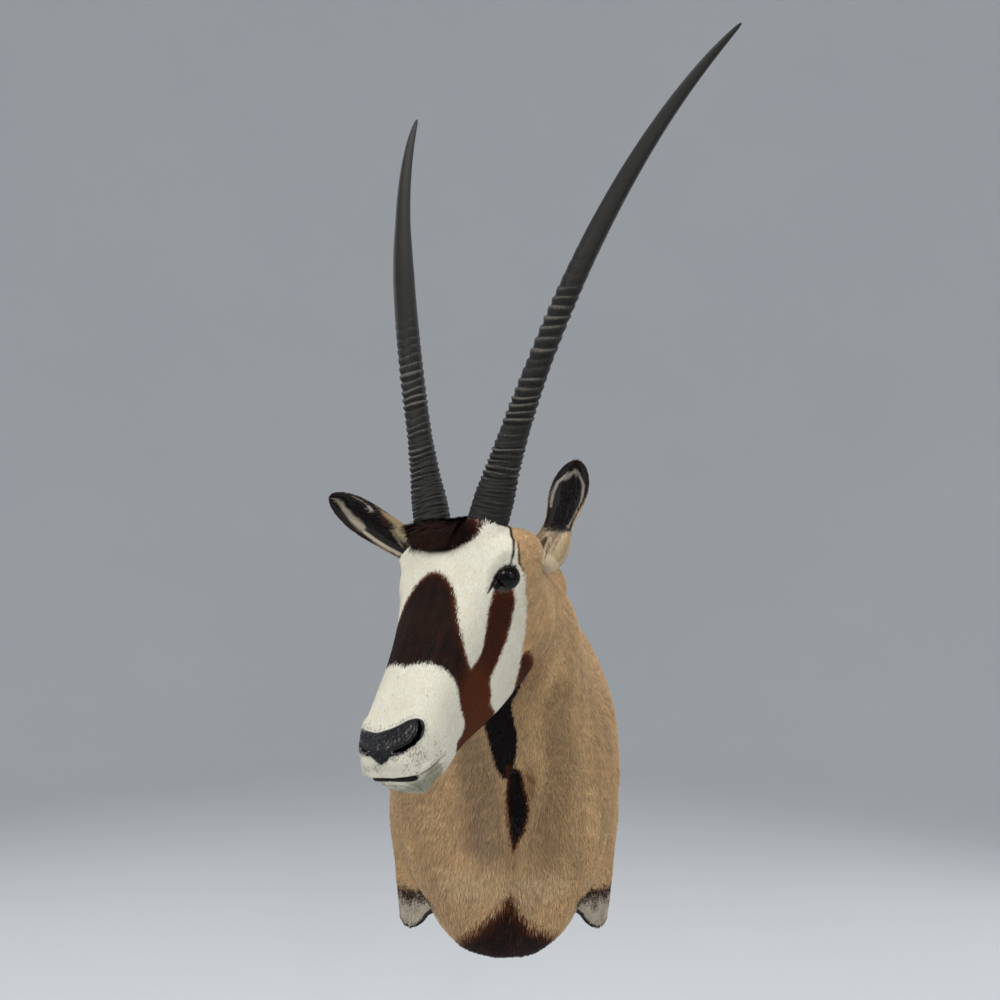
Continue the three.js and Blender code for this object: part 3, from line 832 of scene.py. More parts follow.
    @staticmethod
    def mirrored(local: Array) -> Array:
        """Head coordinates with both sides brought to the animal's left."""
        return np.stack([np.abs(local[..., 0]), local[..., 1], local[..., 2]], -1)

    def mouth_gap(self, local: Array) -> Array:
        """Distance from the line between the lips."""
        return path_distance(self.mirrored(local), self.mouth)

    def mouth_lift(self, local: Array) -> Array:
        """A groove along the line between the lips, a roll on each side, and a set-back lower lip."""
        gap = self.mouth_gap(local)
        line_out = np.interp(-local[..., 1], (318, 334, 355, 366), (-50, -40, -26, -14))
        below = smoothstep(line_out - local[..., 2], -2, 5) * smoothstep(-local[..., 1], 318, 345)
        front = 1 + 1.1 * smoothstep(-local[..., 1], 340, 362)
        groove = np.exp(-((gap / (1.7 * front)) ** 2))
        return 2.0 * np.exp(-(((gap - 7) / 4) ** 2)) - 4.5 * front * groove - 5.5 * below

    def nostril_gap(self, up: Array, arc: Array) -> Array:
        """Distance from the comma of either nostril, on the face's chart; below 0 inside it."""
        return path_distance(np.stack([up, np.abs(arc)], -1), self.nostril, self.nostril_widths)

    def nostril_lift(self, up: Array, arc: Array) -> Array:
        """The nostril goes in steeply, with a rolled rim, and a shallow groove parts the nose in front."""
        gap = self.nostril_gap(up, arc)
        groove = np.exp(-((arc / 1.8) ** 2)) * smoothstep(-up, 326, 340)
        rim = 1.0 * np.exp(-(((gap - 3.0) / 2.4) ** 2))
        return rim - 9.0 * smoothstep(-gap, -0.6, 3.2) - 0.9 * groove

    def neck_lift(self, points: Array, t: Array, angle: Array) -> Array:
        """Long furrows down the neck seen from the front, breast muscles, and slack in the hide."""
        front = points[..., [0, 2]]
        below = smoothstep(-np.cos(angle), -0.35, 0.25)[None] * smoothstep(t, 11.5, 13.5)[:, None]
        lift = sum(s.lift(points) for s in self.chest)
        for path, width, depth in self.furrows:
            lift = lift - depth * np.exp(-((path_distance(front, path) / width) ** 2))
        return below * lift + 0.7 * ripple(points, 70, 3) * smoothstep(t, 9, 13)[:, None]

    def open_eyes(self, points: Array) -> Array:
        """Round each eye the skin is drawn to the ball: seen along the line of sight it dips under the ball
        inside the opening, and rises from the lids to the face over the next two centimetres."""
        local = self.head.local(points)
        for side in SIDES.values():
            basis, centre = self.socket.basis(side), self.socket.centre(side)
            seen = (local - centre) @ basis.T
            spread = np.linalg.norm(seen[..., :2] / (1.12, 1.0), axis=-1)
            lid = np.interp(spread, (0, 11, 14, 17, 30), (2.0, 3.0, 10.5, 11.0, 8.5))
            share = 1 - smoothstep(spread, 17, 33)
            share = share * (seen[..., 2] > -20)
            local = local + ((lid - seen[..., 2]) * share)[..., None] * basis[2]
        return self.head.place(local)


# ---------------------------------------------------------------- the coat's markings


class Chart(Enum):
    """How a marking's outline is laid on the cape."""

    FACE = "up the face and round from the top line, alike on both sides"
    FACE_ONE = "up the face and round from the top line towards the left"
    FRONT = "across and up, seen from in front, on the throat and breast"


@dataclass(frozen=True)
class Marking:
    """One coloured field of the coat."""

    colour: Colour
    chart: Chart
    outline: Table
    ragged: float = 1.6
    soft: float = 1.0
    warm: Colour | None = None  # colour towards its edge
    warm_reach: float = 12.0


TAN = srgb(197, 160, 117)
WHITE = srgb(238, 233, 215)
BROWN = srgb(40, 23, 17)
RUSSET = srgb(98, 47, 17)
SOOT = srgb(19, 11, 9)

MARKINGS: dict[str, Marking] = {
    "forehead": Marking(WHITE, Chart.FACE, (
        (12, -60), (10, 20), (-2, 62), (-12, 75), (-36, 92), (-44, 98), (-53, 104), (-62, 110), (-80, 104),
        (-100, 98), (-130, 96), (-180, 106), (-214, 96), (-222, 60), (-222, -60))),
    "cheek": Marking(WHITE, Chart.FACE, (
        (-62, 110), (-84, 143), (-98, 162), (-117, 178), (-128, 185), (-138, 197), (-149, 204), (-160, 212),
        (-172, 228), (-193, 225), (-210, 218), (-216, 195), (-212, 160), (-190, 138), (-160, 136),
        (-127, 132), (-96, 116), (-80, 106))),
    "blaze": Marking(BROWN, Chart.FACE, (
        (-97, -6), (-97, 6), (-105, 20), (-117, 31), (-132, 40), (-157, 49), (-179, 61), (-196, 74),
        (-206, 90), (-199, 96), (-178, 104), (-167, 100), (-151, 93), (-134, 88), (-117, 86), (-102, 90),
        (-90, 100), (-89, 116), (-101, 128), (-117, 139), (-136, 148), (-156, 149), (-178, 146), (-196, 144),
        (-205, 158), (-216, 170), (-210, 214), (-214, 262), (-272, 262), (-312, 160), (-306, 100), (-250, 40),
        (-234, -44), (-185, -36), (-157, -44), (-145, -37), (-128, -35), (-113, -24)),
        warm=RUSSET, warm_reach=9),
    "jaw": Marking(srgb(66, 36, 20), Chart.FACE, (
        (-128, 208), (-131, 199), (-138, 197), (-149, 204), (-160, 211), (-172, 227), (-206, 222),
        (-224, 240), (-206, 300), (-136, 300), (-129, 250), (-126, 226)), warm=RUSSET),
    "muzzle": Marking(WHITE, Chart.FACE, (
        (-226, -60), (-229, -31), (-235, -10), (-231, 5), (-227, 24), (-226, 40), (-229, 54), (-234, 69),
        (-244, 82), (-257, 101), (-266, 124), (-279, 131), (-298, 137), (-302, 260), (-430, 260),
        (-430, -60))),
    "tuft": Marking(BROWN, Chart.FACE_ONE, (
        (-12, -62), (-24, -62), (-36, -56), (-50, -50), (-58, -21), (-60, 3), (-57, 24), (-53, 34), (-49, 43),
        (-37, 48), (-24, 47), (-8, 43), (14, 40), (40, 30), (40, -40), (14, -60), (0, -62)),
        ragged=1.2, warm=srgb(74, 38, 24)),
    "throat": Marking(SOOT, Chart.FRONT, (
        (-9, 37), (-16, 58), (-22, 81), (-25, 95), (-30, 130), (-25, 170), (0, 205), (24, 205), (33, 186),
        (27, 170), (21, 156), (13, 143), (11, 133), (14, 113), (19, 87), (17, 62), (13, 42), (2, 26)),
        ragged=0.8),
    "stripe": Marking(SOOT, Chart.FRONT, (
        (4, 45), (3, 21), (2, -5), (4, -41), (9, -76), (13, -91), (19, -75), (31, -49), (35, -16), (28, 22),
        (24, 38), (14, 45)), ragged=1.2, soft=2.0, warm=RUSSET, warm_reach=6),
    "brisket": Marking(BROWN, Chart.FRONT, (
        (8, -150), (-3, -163), (-16, -177), (-36, -197), (-68, -232), (-76, -300), (82, -300), (76, -228),
        (60, -210), (36, -195), (20, -170), (12, -158)), ragged=3.5, soft=7.0, warm=RUSSET, warm_reach=18),
}


@dataclass
class Coat:
    """The coat's colours and hair over the cape, worked out from the places of points on the form."""

    form: CapeForm
    grey: Colour = srgb(168, 142, 112)
    gold: Colour = srgb(214, 176, 128)
    # olive beside the throat and stripe: partly the coat's own tone, partly painted shade
    olive_and_shade: Colour = srgb(128, 108, 84)
    ash: Colour = srgb(196, 182, 162)
    lid_grey: Colour = srgb(76, 66, 58)
    # painted shadow under the chin
    chin_shadow: Colour = srgb(172, 168, 146)
    # soft strokes in the mount's frame, the darker ones painted shade on the neck and the paler ones lighter
    # tone of the coat: path, reach, colour and strength
    shade_and_tone_strokes: tuple[tuple[Table, float, Colour, float], ...] = (
        (((72, -352, 150), (71, -355, 138), (79, -314, 47), (69, -294, -44), (60, -290, -84)),
         38.0, srgb(148, 122, 88), 0.8),
        (((-49, -323, 70), (-30, -318, -10), (-26, -305, -70)), 36.0, srgb(138, 115, 90), 0.85),
        (((50, -500, 350), (56, -492, 330)), 17.0, srgb(208, 186, 152), 0.8),
        (((33, -335, 50), (38, -333, 10), (36, -330, -30)), 9.0, srgb(116, 87, 54), 0.9),
        (((126, -242, -20), (135, -224, -66)), 26.0, srgb(216, 180, 130), 0.9),
        (((43, -325, 333), (50, -260, 300), (54, -186, 282)), 30.0, srgb(232, 217, 184), 0.85),
        (((-79, -281, -134), (80, -281, -134)), 26.0, srgb(207, 178, 138), 0.8))
    leg_top: Table = ((100, -170), (125, -176), (165, -186))
    leg_inner: float = 102.0
    leg_front: float = -225.0
    band: float = 25.0
    pad: Table = (
        (-358, 2), (-357, 10), (-350, 18), (-346, 30), (-337, 40), (-328, 47), (-317, 52), (-308, 52),
        (-300, 48), (-299, 39), (-303, 30), (-311, 18), (-316, 6), (-320, -10), (-318, -24), (-314, -36),
        (-309, -46), (-316, -54), (-330, -52), (-340, -42), (-347, -26), (-351, -11))
    # narrow dark or pale lines on the face's chart: path and half widths
    lines: tuple[tuple[str, Table, tuple[float, ...]], ...] = (
        ("line", ((2, 60), (-12, 75), (-36, 92), (-56, 98), (-66, 102)), (1.2, 1.6, 1.6, 1.6, 1.0)),
        # painted shade along the crease above the eye
        ("crease", ((-34, 97), (-53, 104), (-61, 111), (-66, 122)), (0.8, 1.2, 1.4, 1.0)),
        ("corner", ((-85, 93), (-93, 95), (-98, 92)), (4.0, 4.5, 3.6)),
        ("lower_lid", ((-98, 87), (-98, 98), (-94, 110), (-86, 119)), (3.6, 5.2, 4.4, 2.0)),
        ("upper_lid", ((-70, 93), (-66, 98), (-62, 105), (-62, 113)), (0.8, 1.4, 1.4, 0.8)),
        ("spot", ((0, 58), (-1, 62)), (3.5, 3.0)))
    # the black along the mouth is dark lip skin and, below the line, painted shadow under the upper lip
    lip_and_shadow: Table = ((318, -1.0), (345, 0.2), (354, 1.8), (360, 5.0), (366, 6.2))  # half height of the black
    lengths: Table = ((-1, 2.2), (2.5, 3.2), (5, 4.8), (9, 6.5), (12, 9.0), (16, 11.5), (22, 12.0))  # of hair
    face_end: float = 12.4  # place of the last face marking
    nape_start: float = 11.2
    nape_half: float = 15.0

    def fields(self, t: Array, angle: Array, points: Array) -> dict[str, Array]:
        """Everything the colour depends on, on a grid of places and angles.

        Args:
            t: places along the cape.
            angle: angles round it.
            points: the surface there.

        Returns:
            Depth inside each marking in millimetres, and soft measures, by name.
        """
        local = self.form.head.local(points)
        arc = self.form.chart(t, angle)
        up = local[..., 1]
        on_face = np.broadcast_to((t < self.face_end)[:, None], arc.shape)
        in_front = (t > 10.5)[:, None] & (np.cos(angle) < 0.3)[None]
        found = {}
        for name, marking in MARKINGS.items():
            if marking.chart is Chart.FRONT:
                depth, valid = outline_depth(points[..., [0, 2]], marking.outline), in_front
            else:
                round_to = arc if marking.chart is Chart.FACE_ONE else np.abs(arc)
                depth, valid = outline_depth(np.stack([up, round_to], -1), marking.outline), on_face
            found[name] = np.where(valid, depth, -REACH)
        x, y, z = (points[..., n] for n in range(3))
        nape = self.nape_half - np.abs(arc)
        found["nape"] = np.where((t > self.nape_start)[:, None], nape, -REACH) + 0 * x
        leg = np.minimum(np.abs(x) - self.leg_inner, y - self.leg_front)
        top = between(np.abs(x), self.leg_top)
        found["leg"] = np.minimum(leg, top - z)
        found["leg_white"] = np.minimum(leg, top - self.band - z)
        cut = np.minimum(np.minimum(self.form.foot_level(x, y) + 4.0 - z, y + 150), np.abs(x) - 104)
        outer = np.minimum(np.minimum(np.abs(x) - 171, -194 - z), y + 30)
        found["rim"] = np.maximum(cut, outer)
        found["margin"] = np.min([y + 16, 114 - np.abs(x), np.abs(x) - 60, -200 - z], axis=0)
        face = np.stack([up, np.abs(arc)], -1)
        for name, path, widths in (*self.lines, ("duct", self.form.duct, self.form.duct_widths)):
            found[name] = np.where(on_face, -path_distance(face, path, widths), -REACH)
        # share of each soft stroke: the darker strokes are painted shade, the paler ones lighter coat tone
        for number, (path, reach, _, _) in enumerate(self.shade_and_tone_strokes):
            found[f"stroke_{number}"] = 1 - smoothstep(path_distance(points, path), 0.2 * reach, 1.25 * reach)
        eyes = [np.linalg.norm(local - self.form.socket.centre(s), axis=-1) for s in SIDES.values()]
        found["lids"] = self.form.socket.radius + 0.9 - np.minimum(*eyes)
        plain = self.form.head.local(self.form.base(t, angle))
        thick = between(-up, self.lip_and_shadow)
        # the black band along the mouth, moved 2.5 mm down so that it also paints shadow on the lower lip
        # under the upper lip
        found["lips"] = np.where((t < 4)[:, None], thick - self.form.mouth_gap(plain + (0, 0, 2.5)), -REACH)
        # the chin's underside below the mouth, where painted shadow is laid
        found["chin"] = smoothstep(-plain[..., 2], 30, 46) * (t < 2.6)[:, None] * smoothstep(-up, 300, 345)
        found["pad"] = np.where((t < 5)[:, None], self.pad_depth(up, arc), -REACH)
        found["soft"] = ripple(points, 90, 5) + x / 190
        found["streak"] = ripple(np.stack([arc, 6 * t[:, None] + 0 * arc], -1), 16, 9)
        found["fine"] = ripple(points, 24, 6)
        found["up"] = np.where(on_face, up, 60.0)
        found["arc"] = arc
        found["t"] = t[:, None] + 0 * x
        return found

    def pad_depth(self, up: Array, arc: Array) -> Array:
        """Depth inside the bare nose pad, on the face's chart."""
        return outline_depth(np.stack([up, arc], -1), self.pad)

    def colour(self, f: dict[str, Array], jitter: Array | float = 0.0, speckle: Array | float = 0.5) -> Array:
        """The coat's colour: tan with painted shade in places, and each marking laid over in turn and blended
        across its edge.

        Args:
            f: the fields.
            jitter: millimetres by which a hair's root is off, times the raggedness of each marking.
            speckle: a number from 0 to 1 for each point, which picks out odd dark hairs.

        Returns:
            Linear colours, with three numbers along the last axis.
        """
        def lay(over: Array, colour: Colour | Array, depth: Array, soft: float) -> Array:
            """A colour laid over another where the depth is above 0, blended over a soft edge."""
            share = smoothstep(depth, -soft, soft)[..., None]
            return over * (1 - share) + np.asarray(colour) * share

        shade = smoothstep(f["soft"], -0.9, 0.9)[..., None]
        colour = np.asarray(self.grey) * (1 - shade) + np.asarray(self.gold) * shade
        colour = colour * 0.4 + np.asarray(TAN) * 0.6
        # beside the throat patch and stripe the coat goes olive: partly its own tone, partly painted shade
        # from the neck's furrows and the underside of the jaw
        beside = smoothstep(np.maximum(f["throat"], f["stripe"]), -39, -8)
        olive_and_shade = 0.4 * beside * smoothstep(f["streak"] + 0.5 * f["soft"], -0.9, 0.4)
        colour = colour * (1 - olive_and_shade[..., None]) + np.asarray(self.olive_and_shade) * olive_and_shade[..., None]
        # the soft strokes laid over the tan: painted shade where they are dark, lighter coat tone where they
        # are pale
        for number, (_, _, tint, strength) in enumerate(self.shade_and_tone_strokes):
            share = strength * np.clip(f[f"stroke_{number}"] * (1 + 0.4 * f["streak"]), 0, 1)[..., None]
            colour = colour * (1 - share) + np.asarray(tint) * share
        colour = colour * (1 + 0.08 * f["streak"] + 0.05 * f["fine"])[..., None]
        for name, marking in MARKINGS.items():
            depth = f[name] + jitter * marking.ragged
            tone = np.asarray(marking.colour) + 0 * colour
            if marking.warm:
                edge = (1 - smoothstep(depth, 0, marking.warm_reach))[..., None]
                tone = tone * (1 - 0.75 * edge) + np.asarray(marking.warm) * 0.75 * edge
            if marking.colour is WHITE:
                stain = smoothstep(f["fine"], -0.1, 1.0)[..., None]
                tone = tone * (1 - stain * (0.02, 0.03, 0.07))
            else:
                tone = tone * (1 + 0.26 * f["streak"] + 0.24 * f["fine"])[..., None]
            if name == "blaze":
                side = smoothstep(np.abs(f["arc"]), 62, 104) * smoothstep(-f["up"], 150, 215)
                side = np.maximum(side, 0.45 * smoothstep(np.abs(f["arc"]), 84, 96))
                tone = tone * (1 - 0.8 * side[..., None]) + np.asarray(RUSSET) * 0.8 * side[..., None]
            colour = lay(colour, tone, depth, marking.soft)
        colour = lay(colour, BROWN, f["nape"] + 2.5 * jitter, 2.0)
        colour = lay(colour, srgb(56, 33, 20), f["leg"] + 4.0 * jitter, 4.0)
        streaky = np.asarray(self.ash) * (0.95 + 0.1 * f["fine"])[..., None]
        colour = lay(colour, streaky, f["leg_white"] + 9.0 * jitter + 5.0 * f["fine"], 6.0)
        colour = lay(colour, WHITE, f["margin"] + 2.0 * jitter, 3.0)
        colour = lay(colour, WHITE, f["upper_lid"] + 0.3 * jitter, 0.6)
        colour = lay(colour, self.lid_grey, f["lower_lid"] + 0.7 * jitter, 1.6)
        # painted shadow greys the underside of the chin
        chin = 0.9 * np.clip(f["chin"] + 0.1 * jitter * f["chin"], 0, 1)[..., None]
        colour = colour * (1 - chin) + np.asarray(self.chin_shadow) * chin
        colour = lay(colour, np.asarray(SOOT) * 1.6, f["pad"] + 1.6 * jitter + 0.6, 2.4)
        # dark lines laid over; the crease line is painted shade, and the mouth band holds painted shadow on
        # the lower lip
        for name, soft in (
            ("line", 0.8), ("crease", 0.8), ("duct", 1.4), ("corner", 1.4), ("spot", 1.5), ("lids", 0.9),
            ("rim", 1.5), ("lips", 0.8),
        ):
            colour = lay(colour, SOOT, f[name] + 0.5 * jitter, soft)
        near_mouth = smoothstep(-f["up"], 300, 345) * (f["t"] < 4)
        dark_hair = speckle > 0.9985 - 0.17 * near_mouth * smoothstep(f["fine"], -0.8, 0.6)
        darker = np.where((f["muzzle"] > 0)[..., None], np.asarray(SOOT) * 2.5, colour * 0.5)
        return np.where(dark_hair[..., None], darker, colour)

    def hair_length(self, f: dict[str, Array]) -> Array:
        """Length of the hair in millimetres: short on the face, longer on the neck, tuft and nape."""
        length = between(f["t"], self.lengths)
        length = length + 15 * smoothstep(f["tuft"], 4, 12) + 8 * smoothstep(f["nape"], -2, 5)
        length = length * (1 - 0.35 * smoothstep(np.maximum(f["throat"], f["stripe"]), -8, 1))
        length = length * (1 - 0.5 * smoothstep(f["up"], -22, -6) * (f["t"] < self.face_end))
        length = length * (1 - 0.5 * smoothstep(f["leg"], -4, 6))
        length = length * (1 - 0.7 * smoothstep(f["lips"], -7, -1))
        dark = ("line", "crease", "duct", "corner", "lower_lid", "lids")
        marks = np.max([f[name] for name in dark], axis=0)
        length = length * (1 - 0.6 * smoothstep(marks, -7, -1))
        return length + 3 * smoothstep(f["brisket"], -4, 6)


# ---------------------------------------------------------------- cape, fur and nose


@dataclass
class Cape:
    """The tanned hide over its form: one closed skin with its edge turned in round the back board."""

    form: CapeForm
    coat: Coat
    columns: int = 216
    board_inset: float = 13.7
    pocket: float = -18.2
    turned_in: Table = ((0.0, -0.4), (0.06, -0.9), (0.3, -1.0), (0.6, -1.1), (0.9, -1.2))  # way in, and y
    bands: tuple[tuple[float, float, int], ...] = (  # from and to place, rows
        (-1, 0, 7), (0, 3, 104), (3, 9.3, 150), (9.3, 13, 64), (13, 22, 108))

    def places(self) -> Array:
        """Places of the rows: close together on the nose, wider on the shoulders."""
        parts = [np.linspace(a, b, n, endpoint=False) for a, b, n in self.bands]
        return np.concatenate([*parts, [self.form.last]])[1:]

    def angles(self) -> Array:
        """Angles of the columns."""
        return np.arange(self.columns) * 2 * np.pi / self.columns

    def board_edge(self, angle: Array, y: float, inset: float) -> Array:
        """The board's outline at a depth: the last section's superellipse drawn in by an inset."""
        top, base = NECK_SECTIONS[-1][2], NECK_SECTIONS[-1][5]
        half, _, roundness, narrow = NECK_SECTIONS[-1][6:]
        co, si = signed_power(np.cos(angle), roundness), signed_power(np.sin(angle), roundness)
        x = (half - inset) * (1 + narrow * np.minimum(co, 0)) * si
        return np.stack([x, np.full_like(x, y), (top + base) / 2 + ((top - base) / 2 - inset) * co], -1)

    def build(self, finish: bpy.types.Material) -> bpy.types.Object:
        """Skin from the chin's pole back to the wall, turned in to the board and closed behind it."""
        t, angle = self.places(), self.angles()
        points = self.form.skin(t, angle)
        edge, seat = points[-1].copy(), self.board_edge(angle, self.turned_in[-1][1], self.board_inset)
        turned = []
        for share, y in self.turned_in:
            ring = edge * (1 - share) + seat * share
            ring[:, 1] = y
            turned.append(ring)
        turned += [seat, *(self.board_edge(angle, self.pocket, inset) for inset in (self.board_inset, 90))]
        rings = np.concatenate([points, np.stack(turned)])
        fields = self.coat.fields(t, angle, points)
        colours = self.coat.colour(fields)
        back = np.broadcast_to(np.asarray(srgb(176, 152, 120)), (len(turned), self.columns, 3))
        colours = np.concatenate([colours, back]).reshape(-1, 3)
        vertices, faces = closed_tube(rings)
        colours = np.concatenate([colours, colours[[0, -1]]])
        row = np.repeat(np.arange(len(rings)), self.columns) * 0.0011
        column = np.tile(np.arange(self.columns) * 0.0022, len(rings))
        uv = np.concatenate([np.stack([column, row], -1), np.zeros((2, 2))])
        faces = facing_out(vertices, faces)
        return add_piece("hide", vertices, faces, finish, {"coat": colours}, ("coat_map", uv))


@dataclass
class Pelage:
    """The hair: flat tapering blades of two faces each that lie along the coat, rooted all over the skin."""

    form: CapeForm
    coat: Coat
    columns: int = 540
    seed: int = 11
    wall: float = -0.3  # no hair stands further back
    map_size: float = 0.0025
    parts: dict[str, tuple[float, float, int, int]] = field(default_factory=lambda: {
        # name: from and to place, rows, blades
        "fur_muzzle": (-0.9, 4.6, 220, 86000),
        "fur_face": (4.6, 8.4, 230, 92000),
        "fur_cheeks": (8.4, 12.2, 230, 84000),
        "fur_neck": (12.2, 16.2, 200, 70000),
        "fur_shoulders": (16.2, 21.98, 240, 92000),
    })

    def build(self, finish: bpy.types.Material) -> list[bpy.types.Object]:
        """One piece for each stretch of the cape."""
        rng = np.random.default_rng(self.seed)
        return [self.grow(name, *row, finish, rng) for name, row in self.parts.items()]

    def grow(
        self, name: str, start: float, end: float, rows: int, count: int, finish: bpy.types.Material,
        rng: np.random.Generator,
    ) -> bpy.types.Object:
        """Grows one piece. Roots are spread by area over a fine grid; each blade lies from nose to wall with
        a small turn, lifted a little, and its tip comes back towards the skin.

        Args:
            name: the piece's name.
            start: its first place along the cape.
            end: its last place.
            rows: rows of the grid that the roots are spread on.
            count: number of blades.
            finish: its material.
            rng: the random numbers.

        Returns:
            The piece.
        """
        t = np.linspace(start, end, rows)
        angle = np.arange(self.columns) * 2 * np.pi / self.columns
        points = self.form.skin(t, angle)
        normals = grid_normals(points)
        flow = unit(np.gradient(points, axis=0))
        fields = self.coat.fields(t, angle, points)
        bare = (fields["pad"] > -0.8) | (fields["lids"] > 0.3) | (fields["lips"] > 1.0)
        areas = self.cell_areas(points) * ~bare[:-1]
        areas = areas * np.clip(1.0 / self.coat.hair_length(fields)[:-1], 0.05, 0.5) ** 0.8
        cells = rng.choice(areas.size, count, p=areas.ravel() / areas.sum())
        i, j = cells // self.columns, cells % self.columns
        fi, fj = rng.random(count), rng.random(count)

        def pick(values: Array) -> Array:
            """Values of the grid at the roots, bilinear."""
            k = (j + 1) % self.columns
            a, b = (f.reshape(-1, *[1] * (values.ndim - 2)) for f in (fi, fj))
            low = values[i, j] * (1 - b) + values[i, k] * b
            return low * (1 - a) + (values[i + 1, j] * (1 - b) + values[i + 1, k] * b) * a

        root, normal, along = pick(points), unit(pick(normals)), pick(flow)
        here = {key: pick(values) for key, values in fields.items()}
        along = unit(along - (along * normal).sum(-1, keepdims=True) * normal)
        side = np.cross(normal, along)
        turn = 0.16 * ripple(root, 60, 8) + 0.15 * rng.normal(size=count)
        hood = smoothstep(here["tuft"], 2, 8)
        turn = turn + np.pi * (here["tuft"] > 2)
        along = along * np.cos(turn)[:, None] + side * np.sin(turn)[:, None]
        side = np.cross(normal, along)
        length = self.coat.hair_length(here) * rng.uniform(0.7, 1.25, count)
        half = np.clip(0.045 * length + 0.16, 0.24, 0.55) * rng.uniform(0.75, 1.2, count)
        lift = length * (0.11 + 0.06 * rng.random(count) + 0.2 * hood)
        middle = root + along * (0.45 * length)[:, None] + normal * (lift * 0.72)[:, None]
        tip = root + along * length[:, None] + normal * lift[:, None]
        vertices, faces = blades(root - normal * 0.35, middle, tip, side * half[:, None])
        vertices[:, 1] = np.minimum(vertices[:, 1], self.wall)
        colour = self.coat.colour(here, rng.normal(size=count), rng.random(count))
        pale = smoothstep(colour[:, 1:2], 0.4, 0.7)
        colour = colour * (1 + (0.16 - 0.09 * pale) * rng.normal(size=(count, 1)))
        # each blade is darker at its root, painted shade among the hairs, and lighter at its tip, painted
        # light
        shaded_tones = np.stack([colour * (0.8 + 0.12 * pale), colour, colour, colour * 1.08], 1).reshape(-1, 3)
        place = np.stack([(j + fj) / self.columns, (i + fi) / (rows - 1)], -1)
        uv = ("OFBake", blade_map(place, self.map_size))
        return add_piece(name, vertices, faces, finish, {"coat": np.clip(shaded_tones, 0, 1)}, uv, False)

    @staticmethod
    def cell_areas(points: Array) -> Array:
        """Area of each cell of a closed grid, from the cross product of its two edges."""
        down = points[1:] - points[:-1]
        over = np.roll(points, -1, 1) - points
        return np.linalg.norm(np.cross(down, over[:-1]), axis=-1)


@dataclass
class NosePad:
    """The bare nose leather: a pebbled patch over the skin that dips under the fur along its outline."""

    form: CapeForm
    coat: Coat
    rows: int = 210
    columns: int = 230
    thickness: float = 1.1
    half_angle: float = 1.35

    def build(self, finish: bpy.types.Material) -> bpy.types.Object:
        """A grid over the end of the nose, raised by its thickness inside the pad's outline and sunk outside
        it, and trimmed to the faces near the outline."""
        t = np.linspace(1.0, 3.75, self.rows)
        angle = np.linspace(-self.half_angle, self.half_angle, self.columns)
        points = self.form.skin(t, angle, False)
        local = self.form.head.local(points)
        plain = self.form.head.local(self.form.base(t, angle))
        depth = self.coat.pad_depth(plain[..., 1], self.form.chart(t, angle))
        pebbles = np.abs(ripple(local, 3.4, 21)) * 0.25 + 0.2 * ripple(local, 7, 22)
        raised = self.thickness * smoothstep(depth, -2.0, 1.6) - 0.6 + pebbles * smoothstep(depth, 0, 3)
        points = points + grid_normals(points, False) * raised[..., None]
        quads = grid_quads(self.rows, self.columns, False)
        kept = (depth.ravel()[quads] > -1.4).any(1)
        used, corners = np.unique(quads[kept], return_inverse=True)
        faces = [corners.reshape(-1, 4)]
        vertices = points.reshape(-1, 3)[used]
        outward = grid_normals(points, False).reshape(-1, 3)[used].mean(0)
        first = vertices[faces[0][:, :3]]
        if (np.cross(first[:, 1] - first[:, 0], first[:, 2] - first[:, 0]).sum(0) @ outward) < 0:
            faces = [faces[0][:, ::-1]]
        return add_piece("nose_pad", vertices, faces, finish)


# ---------------------------------------------------------------- eyes


